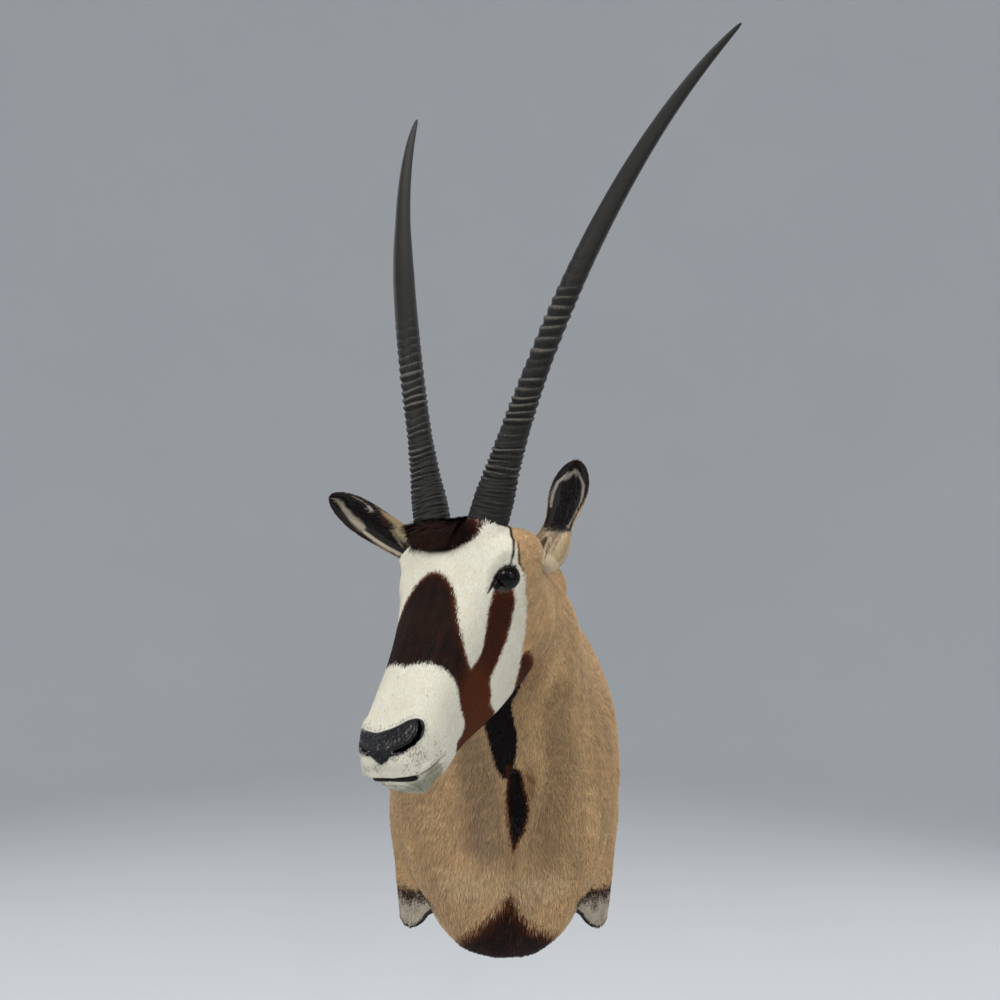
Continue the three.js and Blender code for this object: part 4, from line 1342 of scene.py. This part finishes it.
@dataclass
class Eye:
    """A glass eye with its lids: a ball, a rolled dark rim round the opening, and lashes over it."""

    form: CapeForm
    name: str
    rings: int = 60
    columns: int = 96
    lid_columns: int = 144
    lashes: int = 90
    lid_profile: Table = (  # distance out from the opening's edge and height over the ball
        (-0.6, -1.4), (-0.5, 0.4), (0.1, 1.2), (1.0, 1.7), (2.2, 1.6), (3.4, 1.0), (4.6, -0.4), (4.8, -3.0),
        (1.5, -3.4))

    @property
    def side(self) -> int:
        """1 on the animal's left and -1 on its right."""
        return SIDES[self.name]

    def world(self, seen: Array) -> Array:
        """Points given along the front corner, across the opening and the line of sight."""
        socket = self.form.socket
        return self.form.head.place(socket.centre(self.side) + seen @ socket.basis(self.side))

    def build(self, glass: bpy.types.Material, lid: bpy.types.Material, fur: bpy.types.Material) -> None:
        """Builds the ball, the lids and the lashes."""
        radius = self.form.socket.radius
        polar = np.linspace(0.03, np.pi - 0.03, self.rings)[:, None]
        turn = np.arange(self.columns) * 2 * np.pi / self.columns
        bulge = radius * (1 + 0.02 * np.exp(-((polar / 0.6) ** 2)))
        over, down = np.sin(polar) * np.cos(turn), np.sin(polar) * np.sin(turn)
        ball = np.stack(np.broadcast_arrays(bulge * over, bulge * down, bulge * np.cos(polar)), -1)
        vertices, faces = closed_tube(self.world(ball))
        wide = np.hypot(over, 1.25 * down)
        reach = np.where(polar < np.pi / 2, wide, 2.0).ravel()
        reach = np.concatenate([reach, [0.0, 2.0]])
        eye = add_piece(f"glass_eye_{self.name}", vertices, facing_out(vertices, faces), glass,
                        {"reach": reach})
        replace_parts(eye, f"eye_{self.name}")
        self.build_lids(lid)
        self.build_lashes(fur)

    def opening(self, turn: Array) -> Array:
        """Distance of the opening's edge from the line of sight: round, drawn out to the front corner and a
        little to the rear one."""
        front = np.exp(-((np.angle(np.exp(1j * turn)) / 0.42) ** 2))
        rear = np.exp(-((np.angle(np.exp(1j * (turn - np.pi))) / 0.5) ** 2))
        return 13.2 + 3.4 * front + 1.6 * rear

    def build_lids(self, finish: bpy.types.Material) -> None:
        """A rim with a rolled profile carried round the opening: it rises from the ball, turns over and dips
        under the skin outside."""
        radius = self.form.socket.radius
        turn = np.arange(self.lid_columns) * 2 * np.pi / self.lid_columns
        out, rise = (np.array(column)[:, None] for column in zip(*self.lid_profile))
        spread = self.opening(turn)[None] + out
        level = np.sqrt(np.maximum(radius**2 - np.minimum(spread, 0.97 * radius) ** 2, 0))
        crease = 0.2 * np.sin(23 * turn) * (out > 1.5)
        rim = np.stack([spread * np.cos(turn), spread * np.sin(turn), level + rise + crease], -1)
        vertices = self.world(rim).reshape(-1, 3)
        rows = len(self.lid_profile)
        looped = np.concatenate([grid_quads(rows, self.lid_columns), self.seam(rows)])
        faces = facing_out(vertices, [looped])
        add_piece(f"eyelid_{self.name}", vertices, faces, finish)

    def seam(self, rows: int) -> Array:
        """Faces that join the profile's last row to its first."""
        j = np.arange(self.lid_columns)
        k = (j + 1) % self.lid_columns
        last = (rows - 1) * self.lid_columns
        return np.stack([last + j, last + k, k, j], -1)

    def build_lashes(self, finish: bpy.types.Material) -> None:
        """Short dark lashes along the upper lid, bent outward."""
        rng = np.random.default_rng(31)
        upper = np.pi / 2 if self.across_is_up() else -np.pi / 2
        turn = upper + rng.uniform(-1.15, 1.15, self.lashes)
        edge = self.opening(turn) + 0.6
        radius = self.form.socket.radius
        level = np.sqrt(radius**2 - np.minimum(edge, 0.97 * radius) ** 2) + 1.2
        away = np.stack([np.cos(turn), np.sin(turn)], -1)
        length = rng.uniform(4.5, 7.5, self.lashes)[:, None]
        root = np.concatenate([away * edge[:, None], level[:, None]], 1)
        middle = root + np.concatenate([away * 0.35 * length, 0.45 * length], 1)
        tip = root + np.concatenate([away * 0.95 * length, 0.55 * length], 1)
        sway = np.concatenate([np.stack([-away[:, 1], away[:, 0]], -1) * 0.17, np.zeros((self.lashes, 1))], 1)
        corners = np.stack([root - sway, root + sway, middle + sway, middle - sway, tip], 1)
        vertices = self.world(corners.reshape(-1, 3))
        corner = np.arange(self.lashes)[:, None] * 5
        faces = [corner + (0, 1, 2, 3), corner + (3, 2, 4)]
        colours = np.broadcast_to(np.asarray(SOOT), vertices.shape)
        add_piece(f"lashes_{self.name}", vertices, faces, finish, {"coat": colours})

    def across_is_up(self) -> bool:
        """Whether the second axis of the opening points up the head."""
        return self.form.socket.basis(self.side)[1][1] > 0


# ---------------------------------------------------------------- horns


@dataclass
class Horn:
    """One horn: a tapering tube along a slow double curve, with irregular raised rings on its lower half."""

    head: HeadFrame
    name: str
    length: float = 786.0
    root: float = 30.0
    half_spacing: float = 47.5
    rows: int = 1150
    columns: int = 72
    ring_first: float = 5.0
    ring_last: float = 415.0
    ring_height: float = 2.7
    tip_rows: int = 150
    foot_rows: int = 12
    radii: Table = (
        (-30, 26.8), (0, 26.8), (24, 26.2), (63, 22.0), (114, 18.9), (165, 17.0), (217, 15.8), (322, 15.0),
        (401, 14.2), (495, 12.6), (621, 9.6), (689, 7.6), (722, 6.4), (755, 4.7), (778, 3.0), (786, 1.6))
    right_shares: Table = (
        (0, 0.93), (60, 0.91), (130, 0.91), (176, 0.98), (220, 1.04), (300, 1.09), (400, 1.1), (450, 1.05),
        (500, 0.94), (600, 0.93))

    @property
    def side(self) -> int:
        """1 on the animal's left and -1 on its right."""
        return SIDES[self.name]

    def axis(self, s: Array) -> tuple[Array, Array]:
        """Points and directions of the horn's middle line: both lean angles are quadratic in the distance."""
        f = np.linspace(0, 1, 400)
        back = np.radians(-21.9 - 0.3 * self.side + (16.5 - 0.3 * self.side) * f + 16.3 * f * f)
        out = np.radians(15.3 + 0.7 * self.side + (9.7 + 2.3 * self.side) * f - 5.4 * f * f)
        ways = np.stack([self.side * np.sin(out), np.cos(out) * np.cos(back), -np.cos(out) * np.sin(back)], 1)
        steps = (ways[1:] + ways[:-1]) / 2 * (self.length / (len(f) - 1))
        line = np.concatenate([np.zeros((1, 3)), np.cumsum(steps, 0)]) + (self.side * self.half_spacing, 0, 0)
        share = np.clip(s / self.length, 0, 1)
        way = unit(np.stack([np.interp(share, f, ways[:, n]) for n in range(3)], -1))
        point = np.stack([np.interp(share, f, line[:, n]) for n in range(3)], -1)
        point = point + np.minimum(s, 0)[:, None] * way
        return self.head.place(point), self.head.direction(way)

    def relief(self, s: Array, turn: Array) -> Array:
        """Height of the rings over the horn: each ring is a rounded ridge with a narrow groove, arched up in
        front, with its own height and waver; fine wrinkles crowd the base and the upper horn is smooth."""
        rng = np.random.default_rng(41 + self.side)
        gaps = [self.ring_first]
        while gaps[-1] < self.ring_last + 40:
            gaps.append(gaps[-1] + (6.2 + 0.034 * gaps[-1]) * rng.uniform(0.8, 1.2))
        marks = np.array(gaps)
        waver = 1.1 * np.sin(turn + rng.uniform(0, 6)) + 0.8 * np.sin(2 * turn + rng.uniform(0, 6))
        rise = 2.3 * self.side * np.cos(turn) - 7.5 * np.sin(turn)
        rise = rise * (0.35 + 0.65 * smoothstep(s, 10, 130))[:, None]
        place = s[:, None] - rise - waver + 0.7 * np.sin(3 * turn + s[:, None] / 9)
        phase = np.interp(place, marks, np.arange(len(marks)))
        number = phase.astype(int)
        heights = rng.uniform(0.4, 1.4, len(marks) + 1)[number]
        f = phase - number
        ridge = smoothstep(f, 0.05, 0.74) * (1 - smoothstep(f, 0.8, 1.0)) - 0.45
        fade = 1 - smoothstep(s, self.ring_last - 150, self.ring_last)
        tall = self.ring_height * smoothstep(s, 6, 72) * fade
        fine = 0.5 * np.sin(place / 1.35 + 2 * np.sin(turn * 2))
        fine = fine + 0.4 * np.sin(place / 0.83 + 3 * np.sin(turn))
        low = 0.75 * (1 - smoothstep(s, 50, 120))[:, None] * fine
        high = 0.1 * (1 - smoothstep(s, 300, 520))[:, None] * fine
        # ridges stand taller in front; through the stored relief this also keeps the pale crest colour, wear
        # with a painted highlight, to the front
        front = 0.72 + 0.28 * np.cos(turn - np.pi / 2)
        return tall[:, None] * ridge * heights * front + low + high

    def build(self, finish: bpy.types.Material) -> bpy.types.Object:
        """Rings of points round the middle line, each at the horn's radius plus its relief."""
        s = np.concatenate([
            np.linspace(-self.root, 0, self.foot_rows, endpoint=False),
            np.linspace(0, 470, self.rows - self.foot_rows - self.tip_rows),
            np.linspace(474, self.length, self.tip_rows),
        ])
        turn = np.arange(self.columns) * 2 * np.pi / self.columns
        centre, along = self.axis(s)
        across = unit(np.cross(along, self.head.direction((0, 0, 1))))
        front = np.cross(across, along)
        plain = between(s, self.radii)
        slim = between(s, self.right_shares) if self.side < 0 else 1.0
        relief = self.relief(s, turn)
        grain = 0.12 * np.sin(29 * turn + 0.02 * s[:, None]) + 0.09 * np.sin(47 * turn - 0.013 * s[:, None])
        grain = grain * smoothstep(s, -5, 60)[:, None] * np.minimum(1, plain / 12)[:, None]
        radius = (plain * slim)[:, None] + relief + grain
        ring = across[:, None] * np.cos(turn)[None, :, None] + front[:, None] * np.sin(turn)[None, :, None]
        vertices, faces = closed_tube(centre[:, None] + ring * radius[..., None])
        # the relief, stored for the colour: its lows get painted shade, its high crests a pale colour that is
        # partly wear and partly a painted highlight
        value = np.concatenate([np.clip(0.5 + relief / 3.2, 0, 1).ravel(), [0.5, 0.5]])
        place = np.stack(np.broadcast_arrays(turn[None] / (2 * np.pi) * 0.15, s[:, None] * MM), -1)
        place = np.concatenate([place.reshape(-1, 2), np.zeros((2, 2))])
        piece = add_piece(f"ringed_horn_{self.name}", vertices, facing_out(vertices, faces), finish,
                          {"relief": value}, ("horn_map", place))
        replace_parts(piece, f"horn_{self.name}")
        return piece


# ---------------------------------------------------------------- ears


CREAM = np.asarray(srgb(200, 178, 146))
EAR_DARK = np.asarray(srgb(38, 22, 18))


@dataclass
class Ear:
    """One ear: a cupped leaf with a solid root, dark inside and on its rim, pale between, with hair on it."""

    name: str
    root: tuple[float, float, float]
    tip: tuple[float, float, float]
    faces: tuple[float, float, float]
    half_width: float = 26.5
    bend: float = 7.0
    start: float = -0.2
    rim_share: float = 0.93
    rows: int = 96
    columns: int = 120
    blades: int = 15000
    map_size: float = 0.004
    widths: Table = (
        (-0.2, 0.36), (-0.17, 0.6), (-0.1, 0.84), (-0.02, 0.94), (0.08, 0.94), (0.18, 0.84), (0.27, 0.76),
        (0.36, 0.75), (0.45, 0.84), (0.56, 0.95), (0.68, 1.0), (0.78, 0.95), (0.86, 0.81), (0.91, 0.67),
        (0.955, 0.47), (0.985, 0.28), (1, 0.1))
    backs: Table = ((-0.2, 1.0), (0, 0.95), (0.15, 0.85), (0.5, 0.62), (0.85, 0.5), (1, 0.3))
    hollows: Table = (
        (-0.2, -0.9), (0, -0.75), (0.12, -0.45), (0.22, 0.2), (0.32, 0.6), (0.6, 0.74), (1, 0.5))
    # soft lines of (distance share, side) in the cup, with reach, colour and strength
    dabs: tuple[tuple[Table, float, Colour, float], ...] = ()

    def frame(self) -> tuple[Array, Array, Array, float]:
        """Directions along, facing and across the ear, and its length."""
        along = np.asarray(self.tip, float) - self.root
        length = float(np.linalg.norm(along))
        along = along / length
        facing = np.asarray(self.faces, float)
        facing = unit(facing - (facing @ along) * along)
        return along, facing, np.cross(along, facing), length

    def surface(self, s: Array, turn: Array) -> Array:
        """The ear on a grid of distance shares and angles: angles 0 to pi are its back, pi to 2 pi the cup,
        which follows the back at a share of its depth; wrinkles cross the root."""
        along, facing, across, length = self.frame()
        half = self.half_width * between(s, self.widths)
        sag = self.bend * np.sin(np.pi * np.maximum(s, 0))
        middle = np.asarray(self.root) + np.outer(s * length, along) - np.outer(sag, facing)
        si, co = np.sin(turn)[None], np.cos(turn)[None]
        back = (half * between(s, self.backs))[:, None]
        cup = between(s, self.hollows)[:, None]
        depth = np.where(si >= 0, back * si, -back * cup * si)
        width = half[:, None] * co * np.where(si >= 0, 1, self.rim_share)
        wave = 0.9 * np.sin(80 * s[:, None] + 5 * co) * (1 - smoothstep(s, 0.08, 0.24))[:, None]
        crease = 5.0 * np.exp(-(((co + 0.12) / 0.13) ** 2)) * (si < 0)
        crease = crease * (1 - smoothstep(s, 0.05, 0.16))[:, None]
        deep = depth - wave * np.abs(si) + crease * smoothstep(s, -0.12, -0.04)[:, None]
        return middle[:, None] + across * width[..., None] - facing * deep[..., None]

    def colours(self, s: Array, turn: Array, rng: np.random.Generator | None = None) -> Array:
        """Colour at places on the ear: the back is tan to cream at the root and brown at the rim; the cup is
        black, with the ear's own soft dabs of pale hair laid over it and a dark rim and tip."""
        noise = np.zeros(s.shape) if rng is None else rng.normal(size=s.shape)
        side = np.cos(turn)
        root = smoothstep(s + 0.02 * noise, 0.2, 0.34)[..., None]
        back = CREAM * (1 - 0.5 * root) + np.asarray(TAN) * 0.5 * root
        edge = smoothstep(np.abs(side) + 0.03 * noise, 0.93, 0.99) * smoothstep(s, 0.45, 0.65)
        edge = np.maximum(edge, smoothstep(s + 0.015 * noise, 0.86, 0.92))[..., None]
        back = back * (1 - edge) + EAR_DARK * edge
        low = (1 - smoothstep(s + 0.03 * noise, 0.14, 0.26))[..., None]
        cup = np.asarray(SOOT) * (1 - low) + CREAM * low
        rim = smoothstep(np.abs(side) + 0.02 * noise, 0.93, 0.975) * smoothstep(s, 0.2, 0.3)
        rim = np.maximum(rim, smoothstep(s + 0.01 * noise, 0.93, 0.96))[..., None]
        cup = cup * (1 - rim) + EAR_DARK * rim
        sizes = (self.frame()[3], self.half_width)
        places = np.stack([s, side], -1) * sizes
        for line, reach, colour, strength in self.dabs:
            gap = path_distance(places, np.array(line) * sizes) + 0.25 * reach * noise
            share = (strength * (1 - smoothstep(gap, 0.35 * reach, 1.25 * reach)))[..., None]
            cup = cup * (1 - share) + np.asarray(colour) * share
        return np.where((np.sin(turn) < 0)[..., None], cup, back)

    def build(self, hide: bpy.types.Material, fur: bpy.types.Material) -> bpy.types.Object:
        """The ear's shell and the hair on it."""
        s = self.start + (1 - self.start) * np.linspace(0, 1, self.rows) ** 0.9
        turn = np.arange(self.columns) * 2 * np.pi / self.columns
        points = self.surface(s, turn)
        vertices, faces = closed_tube(points)
        grid = np.broadcast_arrays(s[:, None], turn[None])
        colours = self.colours(*grid).reshape(-1, 3)
        colours = np.concatenate([colours, colours[[0, -1]]])
        uv = np.stack([grid[1] * 0.02, grid[0] * 0.13], -1).reshape(-1, 2)
        uv = np.concatenate([uv, np.zeros((2, 2))])
        shell = add_piece(f"ear_shell_{self.name}", vertices, facing_out(vertices, faces), hide,
                          {"coat": colours}, ("coat_map", uv))
        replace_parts(shell, f"ear_{self.name}")
        self.grow(fur)
        return shell

    def grow(self, finish: bpy.types.Material) -> None:
        """Hair along the ear: short on the back, a long pale fringe that leans into the cup from its rim."""
        rng = np.random.default_rng(51 + SIDES[self.name])
        s, turn = rng.uniform(-0.15, 0.985, self.blades), rng.uniform(0, 2 * np.pi, self.blades)
        on_rim = rng.random(self.blades) < 0.3
        rim = np.where(rng.random(self.blades) < 0.5, 2 * np.pi, np.pi) + rng.normal(0, 0.25, self.blades)
        turn = np.where(on_rim, rim, turn)
        root = self.at(s, turn)
        along = unit(self.at(s + 0.01, turn) - self.at(s - 0.01, turn))
        over = unit(self.at(s, turn + 0.02) - self.at(s, turn - 0.02))
        normal = unit(np.cross(along, over))
        inside = np.sin(turn) < 0
        back, cup = (self.at(s, np.full_like(turn, share * np.pi)) for share in (0.5, 1.5))
        outward = root - back * 0.5 - cup * 0.5
        normal = normal * np.sign((normal * outward).sum(-1, keepdims=True) + 1e-9)
        lean = np.where(inside, np.sign(np.cos(turn)) * 0.9, 0.0) + 0.3 * rng.normal(size=self.blades)
        way = unit(along - over * lean[:, None] * np.sign(np.sin(turn) * -1)[:, None] * 0.5)
        length = np.where(inside, 7.0, 4.5) * rng.uniform(0.6, 1.2, self.blades)
        half = 0.28 * rng.uniform(0.7, 1.3, self.blades)
        lift = length * np.where(inside, 0.25, 0.13)
        middle = root + way * (0.5 * length)[:, None] + normal * (0.7 * lift)[:, None]
        tip = root + way * length[:, None] + normal * lift[:, None]
        vertices, faces = blades(root - normal * 0.3, middle, tip, np.cross(normal, way) * half[:, None])
        turn = np.mod(turn, 2 * np.pi)
        colour = self.colours(s, turn, rng) * (1 + 0.12 * rng.normal(size=(self.blades, 1)))
        # each blade is darker at its root, painted shade among the hairs, and lighter at its tip, painted
        # light
        shaded_tones = np.stack([colour * 0.75, colour, colour, colour * 1.15], 1).reshape(-1, 3)
        uv = ("OFBake", blade_map(np.stack([turn / (2 * np.pi), s], -1), self.map_size))
        name = f"ear_hair_{self.name}"
        add_piece(name, vertices, faces, finish, {"coat": np.clip(shaded_tones, 0, 1)}, uv, False)

    def at(self, s: Array, turn: Array) -> Array:
        """The surface at single places, by bilinear picks from a fine grid."""
        shares, turns = np.linspace(self.start, 1, 160), np.linspace(0, 2 * np.pi, 241)
        grid = self.surface(shares, turns)
        i = (np.clip(s, self.start, 1) - self.start) / (1 - self.start) * 159
        j = np.mod(turn, 2 * np.pi) / (2 * np.pi) * 240
        a, b = np.minimum(i.astype(int), 158), np.minimum(j.astype(int), 239)
        fi, fj = (i - a)[:, None], (j - b)[:, None]
        low = grid[a, b] * (1 - fj) + grid[a, b + 1] * fj
        return low * (1 - fi) + (grid[a + 1, b] * (1 - fj) + grid[a + 1, b + 1] * fj) * fi


EARS = {
    "left": Ear("left", (59, -478, 353.6), (101, -364, 474), (-0.25, -1, 0.15), dabs=(
        (((0.52, -0.9), (0.66, -0.9), (0.78, -0.85), (0.86, -0.6)), 2.4, srgb(170, 162, 148), 0.9),
        (((0.83, -0.55), (0.89, -0.1), (0.88, 0.3)), 4.0, srgb(160, 154, 144), 0.9),
        (((0.87, 0.45), (0.78, 0.72), (0.62, 0.8), (0.45, 0.78), (0.3, 0.7)), 2.6, srgb(160, 150, 134), 0.85),
        (((0.08, 0.1), (0.2, 0.35)), 9.0, srgb(110, 102, 90), 0.7),
        (((-0.12, 0.8), (0.02, 0.85), (0.18, 0.8)), 5.0, srgb(206, 184, 142), 0.9),
        (((-0.16, -0.5), (0.0, -0.8), (0.14, -0.85)), 9.0, srgb(172, 148, 118), 0.9),
        (((-0.08, -0.3), (0.04, -0.25)), 5.0, srgb(66, 42, 30), 0.9),
        (((-0.16, 0.15), (-0.02, 0.3), (0.14, 0.3)), 1.8, srgb(84, 62, 46), 0.8),
        (((-0.16, -0.55), (-0.02, -0.6), (0.12, -0.5)), 1.6, srgb(104, 78, 58), 0.8),
        (((-0.1, 0.5), (0.1, 0.55)), 2.0, srgb(146, 120, 88), 0.7))),
    "right": Ear("right", (-82, -383, 322), (-248, -338, 423), (0.3, -0.75, -0.55), 27.5, -1.0, widths=(
        (-0.2, 0.36), (-0.17, 0.6), (-0.1, 0.84), (0.08, 0.94), (0.27, 0.86), (0.36, 0.88), (0.45, 0.94),
        (0.56, 0.98), (0.68, 1.0), (0.78, 0.95), (0.86, 0.81), (0.91, 0.67), (0.955, 0.47), (0.985, 0.28),
        (1, 0.1)), dabs=(
        (((0.93, 0.1), (0.86, -0.38), (0.79, -0.58), (0.7, -0.7)), 6.5, srgb(184, 172, 152), 0.9),
        (((0.67, -0.84), (0.57, -0.9), (0.46, -0.92), (0.3, -0.9)), 2.4, srgb(200, 188, 168), 0.9),
        (((0.86, 0.9), (0.79, 0.83), (0.74, 0.76)), 2.0, srgb(176, 164, 146), 0.8),
        (((0.71, 0.66), (0.68, 0.5)), 3.4, srgb(210, 192, 182), 0.9),
        (((0.62, 0.9), (0.59, 0.65), (0.54, 0.3)), 5.0, srgb(72, 32, 20), 0.9),
        (((0.56, 1.05), (0.46, 0.85), (0.38, 0.62), (0.2, 0.4), (0.0, 0.4)), 13.0, srgb(200, 175, 132), 0.95),
        (((0.42, 0.3), (0.3, 0.1), (0.1, 0.0)), 12.0, srgb(204, 188, 154), 0.95),
        (((0.47, -0.02), (0.41, -0.26), (0.36, -0.5)), 2.6, srgb(150, 140, 120), 0.7))),
}


# ---------------------------------------------------------------- the back and the studio


@dataclass
class BackFixings:
    """What shows behind: board, plate and screws keep their own shapes, and staples hold the hide's edge."""

    cape: Cape
    staples: int = 40
    crown: float = 10.0
    wire: float = 0.7

    def build(self, wood: bpy.types.Material, steel: bpy.types.Material) -> None:
        """Dresses the board, plate and screws, and drives the staples in round the edge."""
        for name in ("back_board", "hanger_plate", "hanger_screw_1", "hanger_screw_2"):
            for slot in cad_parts[name].material_slots:
                slot.material = wood if name == "back_board" else steel
        angle = (np.arange(self.staples) + 0.5) * 2 * np.pi / self.staples
        here, ahead = (self.cape.board_edge(a, -0.8, 6.0) for a in (angle, angle + 0.01))
        way = unit(ahead - here)
        ring = np.arange(8) * np.pi / 4
        path = np.array([(-1.0, -5.0), (-1.0, -0.6), (-0.9, 0.0), (0.9, 0.0), (1.0, -0.6), (1.0, -5.0)])
        across, deep = path[:, 0] * self.crown / 2, path[:, 1]
        side = np.cross(way, (0, 1, 0))
        tilt = unit(np.stack([np.gradient(across), np.gradient(deep)], -1))
        vertices, faces, start = [], [], 0
        for n in range(self.staples):
            centre = here[n] + across[:, None] * way[n] + deep[:, None] * np.array([0, 1, 0])
            flat = -tilt[:, 1:] * way[n] + tilt[:, :1] * np.array([0, 1, 0])
            spread = flat[:, None] * np.cos(ring)[None, :, None] + side[n] * np.sin(ring)[None, :, None]
            points, groups = closed_tube(centre[:, None] + self.wire * spread)
            groups = facing_out(points, groups)
            vertices.append(points)
            faces.append([group + start for group in groups])
            start += len(points)
        quads = np.concatenate([group[0] for group in faces])
        ends = np.concatenate([np.concatenate(group[1:]) for group in faces])
        add_piece("staples", np.concatenate(vertices), [quads, ends], steel)


@dataclass
class Studio:
    """A pale round floor that rises into its own backdrop, soft lights and the camera."""

    eye: tuple[float, float, float] = (-6.5, -2511.0, 418.5)
    lens: float = 55.26
    floor: float = -0.95
    flat: float = 5.0
    wall: float = 3.0
    height: float = 7.0
    columns: int = 96
    lamps: tuple[tuple[str, tuple[float, float, float], float, float], ...] = (
        # name, place in metres, watts and side in metres
        ("key", (-1.5, -2.7, 2.6), 43, 1.4),
        ("fill", (2.4, -2.6, 0.9), 14, 2.2),
        ("sparkle_1", (-1.84, -1.26, 1.06), 7.0, 0.08),
        ("sparkle_2", (0.23, -2.46, 2.0), 7.0, 0.08),
        ("sparkle_3", (1.36, -1.9, 1.73), 7.0, 0.08),
        ("top", (0.3, 0.4, 3.2), 34, 2.4),
        ("rear_left", (-2.6, 2.4, 1.8), 26, 2.0),
        ("rear_right", (2.6, 2.4, 1.2), 22, 2.0))
    middle: tuple[float, float, float] = (0, -0.33, 0.3)

    def build(self) -> None:
        """Floor, lights and camera."""
        self.build_floor()
        for lamp in self.lamps:
            self.light(*lamp)
        world = bpy.data.worlds.new("studio")
        bpy.context.scene.world = world
        world.use_nodes = True
        background = world.node_tree.nodes["Background"]
        background.inputs["Color"].default_value = (0.93, 0.96, 1.0, 1)
        background.inputs["Strength"].default_value = 0.36
        camera = bpy.data.objects.new("camera", bpy.data.cameras.new("camera"))
        camera.data.lens = self.lens
        camera.location = Vector(self.eye) * MM
        camera.rotation_euler = (math.pi / 2, 0, 0)
        bpy.context.collection.objects.link(camera)
        bpy.context.scene.camera = camera
        bpy.context.scene.view_settings.view_transform = "Standard"

    def build_floor(self) -> None:
        """A turned profile: flat, then a quarter of an ellipse up into a wall."""
        rise = np.linspace(0, np.pi / 2, 24)
        curve = self.flat + self.wall * np.sin(rise)
        radius = np.concatenate([[0.01, 1.0, 2.5, 4.0], curve, [self.flat + self.wall]])
        level = np.concatenate([[0, 0, 0, 0], self.wall * (1 - np.cos(rise)), [self.height]]) + self.floor
        turn = np.arange(self.columns) * 2 * np.pi / self.columns
        points = np.stack(np.broadcast_arrays(
            radius[:, None] * np.cos(turn), radius[:, None] * np.sin(turn), level[:, None]), -1)
        mesh = bpy.data.meshes.new("floor")
        mesh.from_pydata(points.reshape(-1, 3).tolist(), [], grid_quads(len(radius), self.columns).tolist())
        mesh.polygons.foreach_set("use_smooth", np.ones(len(mesh.polygons), bool))
        finish = Finish("floor", Roughness=0.9)
        grey = finish.mix(finish.noise(0.8, detail=3), srgb(232, 234, 236), srgb(225, 228, 231))
        mesh.materials.append(finish.paint(Base_Color=grey))
        piece = bpy.data.objects.new("floor", mesh)
        bpy.context.collection.objects.link(piece)

    def light(self, name: str, place: tuple[float, float, float], power: float, size: float) -> None:
        """One soft square light, turned to the middle of the mount."""
        data = bpy.data.lights.new(name, "AREA")
        data.energy, data.size = power, size
        lamp = bpy.data.objects.new(name, data)
        lamp.location = place
        lamp.rotation_euler = (Vector(self.middle) - Vector(place)).to_track_quat("-Z", "Y").to_euler()
        bpy.context.collection.objects.link(lamp)


def main() -> None:
    """Builds the mount piece by piece."""
    logging.basicConfig(level=logging.INFO, format="%(name)s %(message)s")
    Studio().build()
    form = CapeForm()
    coat = Coat(form)
    hide, fur, lid = HideFinish().material(), FurFinish().material(), LidFinish().material()
    cape = Cape(form, coat)
    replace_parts(cape.build(hide), "cape")
    NosePad(form, coat).build(PadFinish().material())
    glass, keratin = GlassFinish().material(), HornFinish().material()
    for name in SIDES:
        Eye(form, name).build(glass, lid, fur)
        Horn(form.head, name, ring_last=RINGS_END[name]).build(keratin)
    for ear in EARS.values():
        ear.build(hide, fur)
    Pelage(form, coat).build(fur)
    BackFixings(cape).build(WoodFinish().material(), SteelFinish().material())


if __name__ == "__main__":
    main()
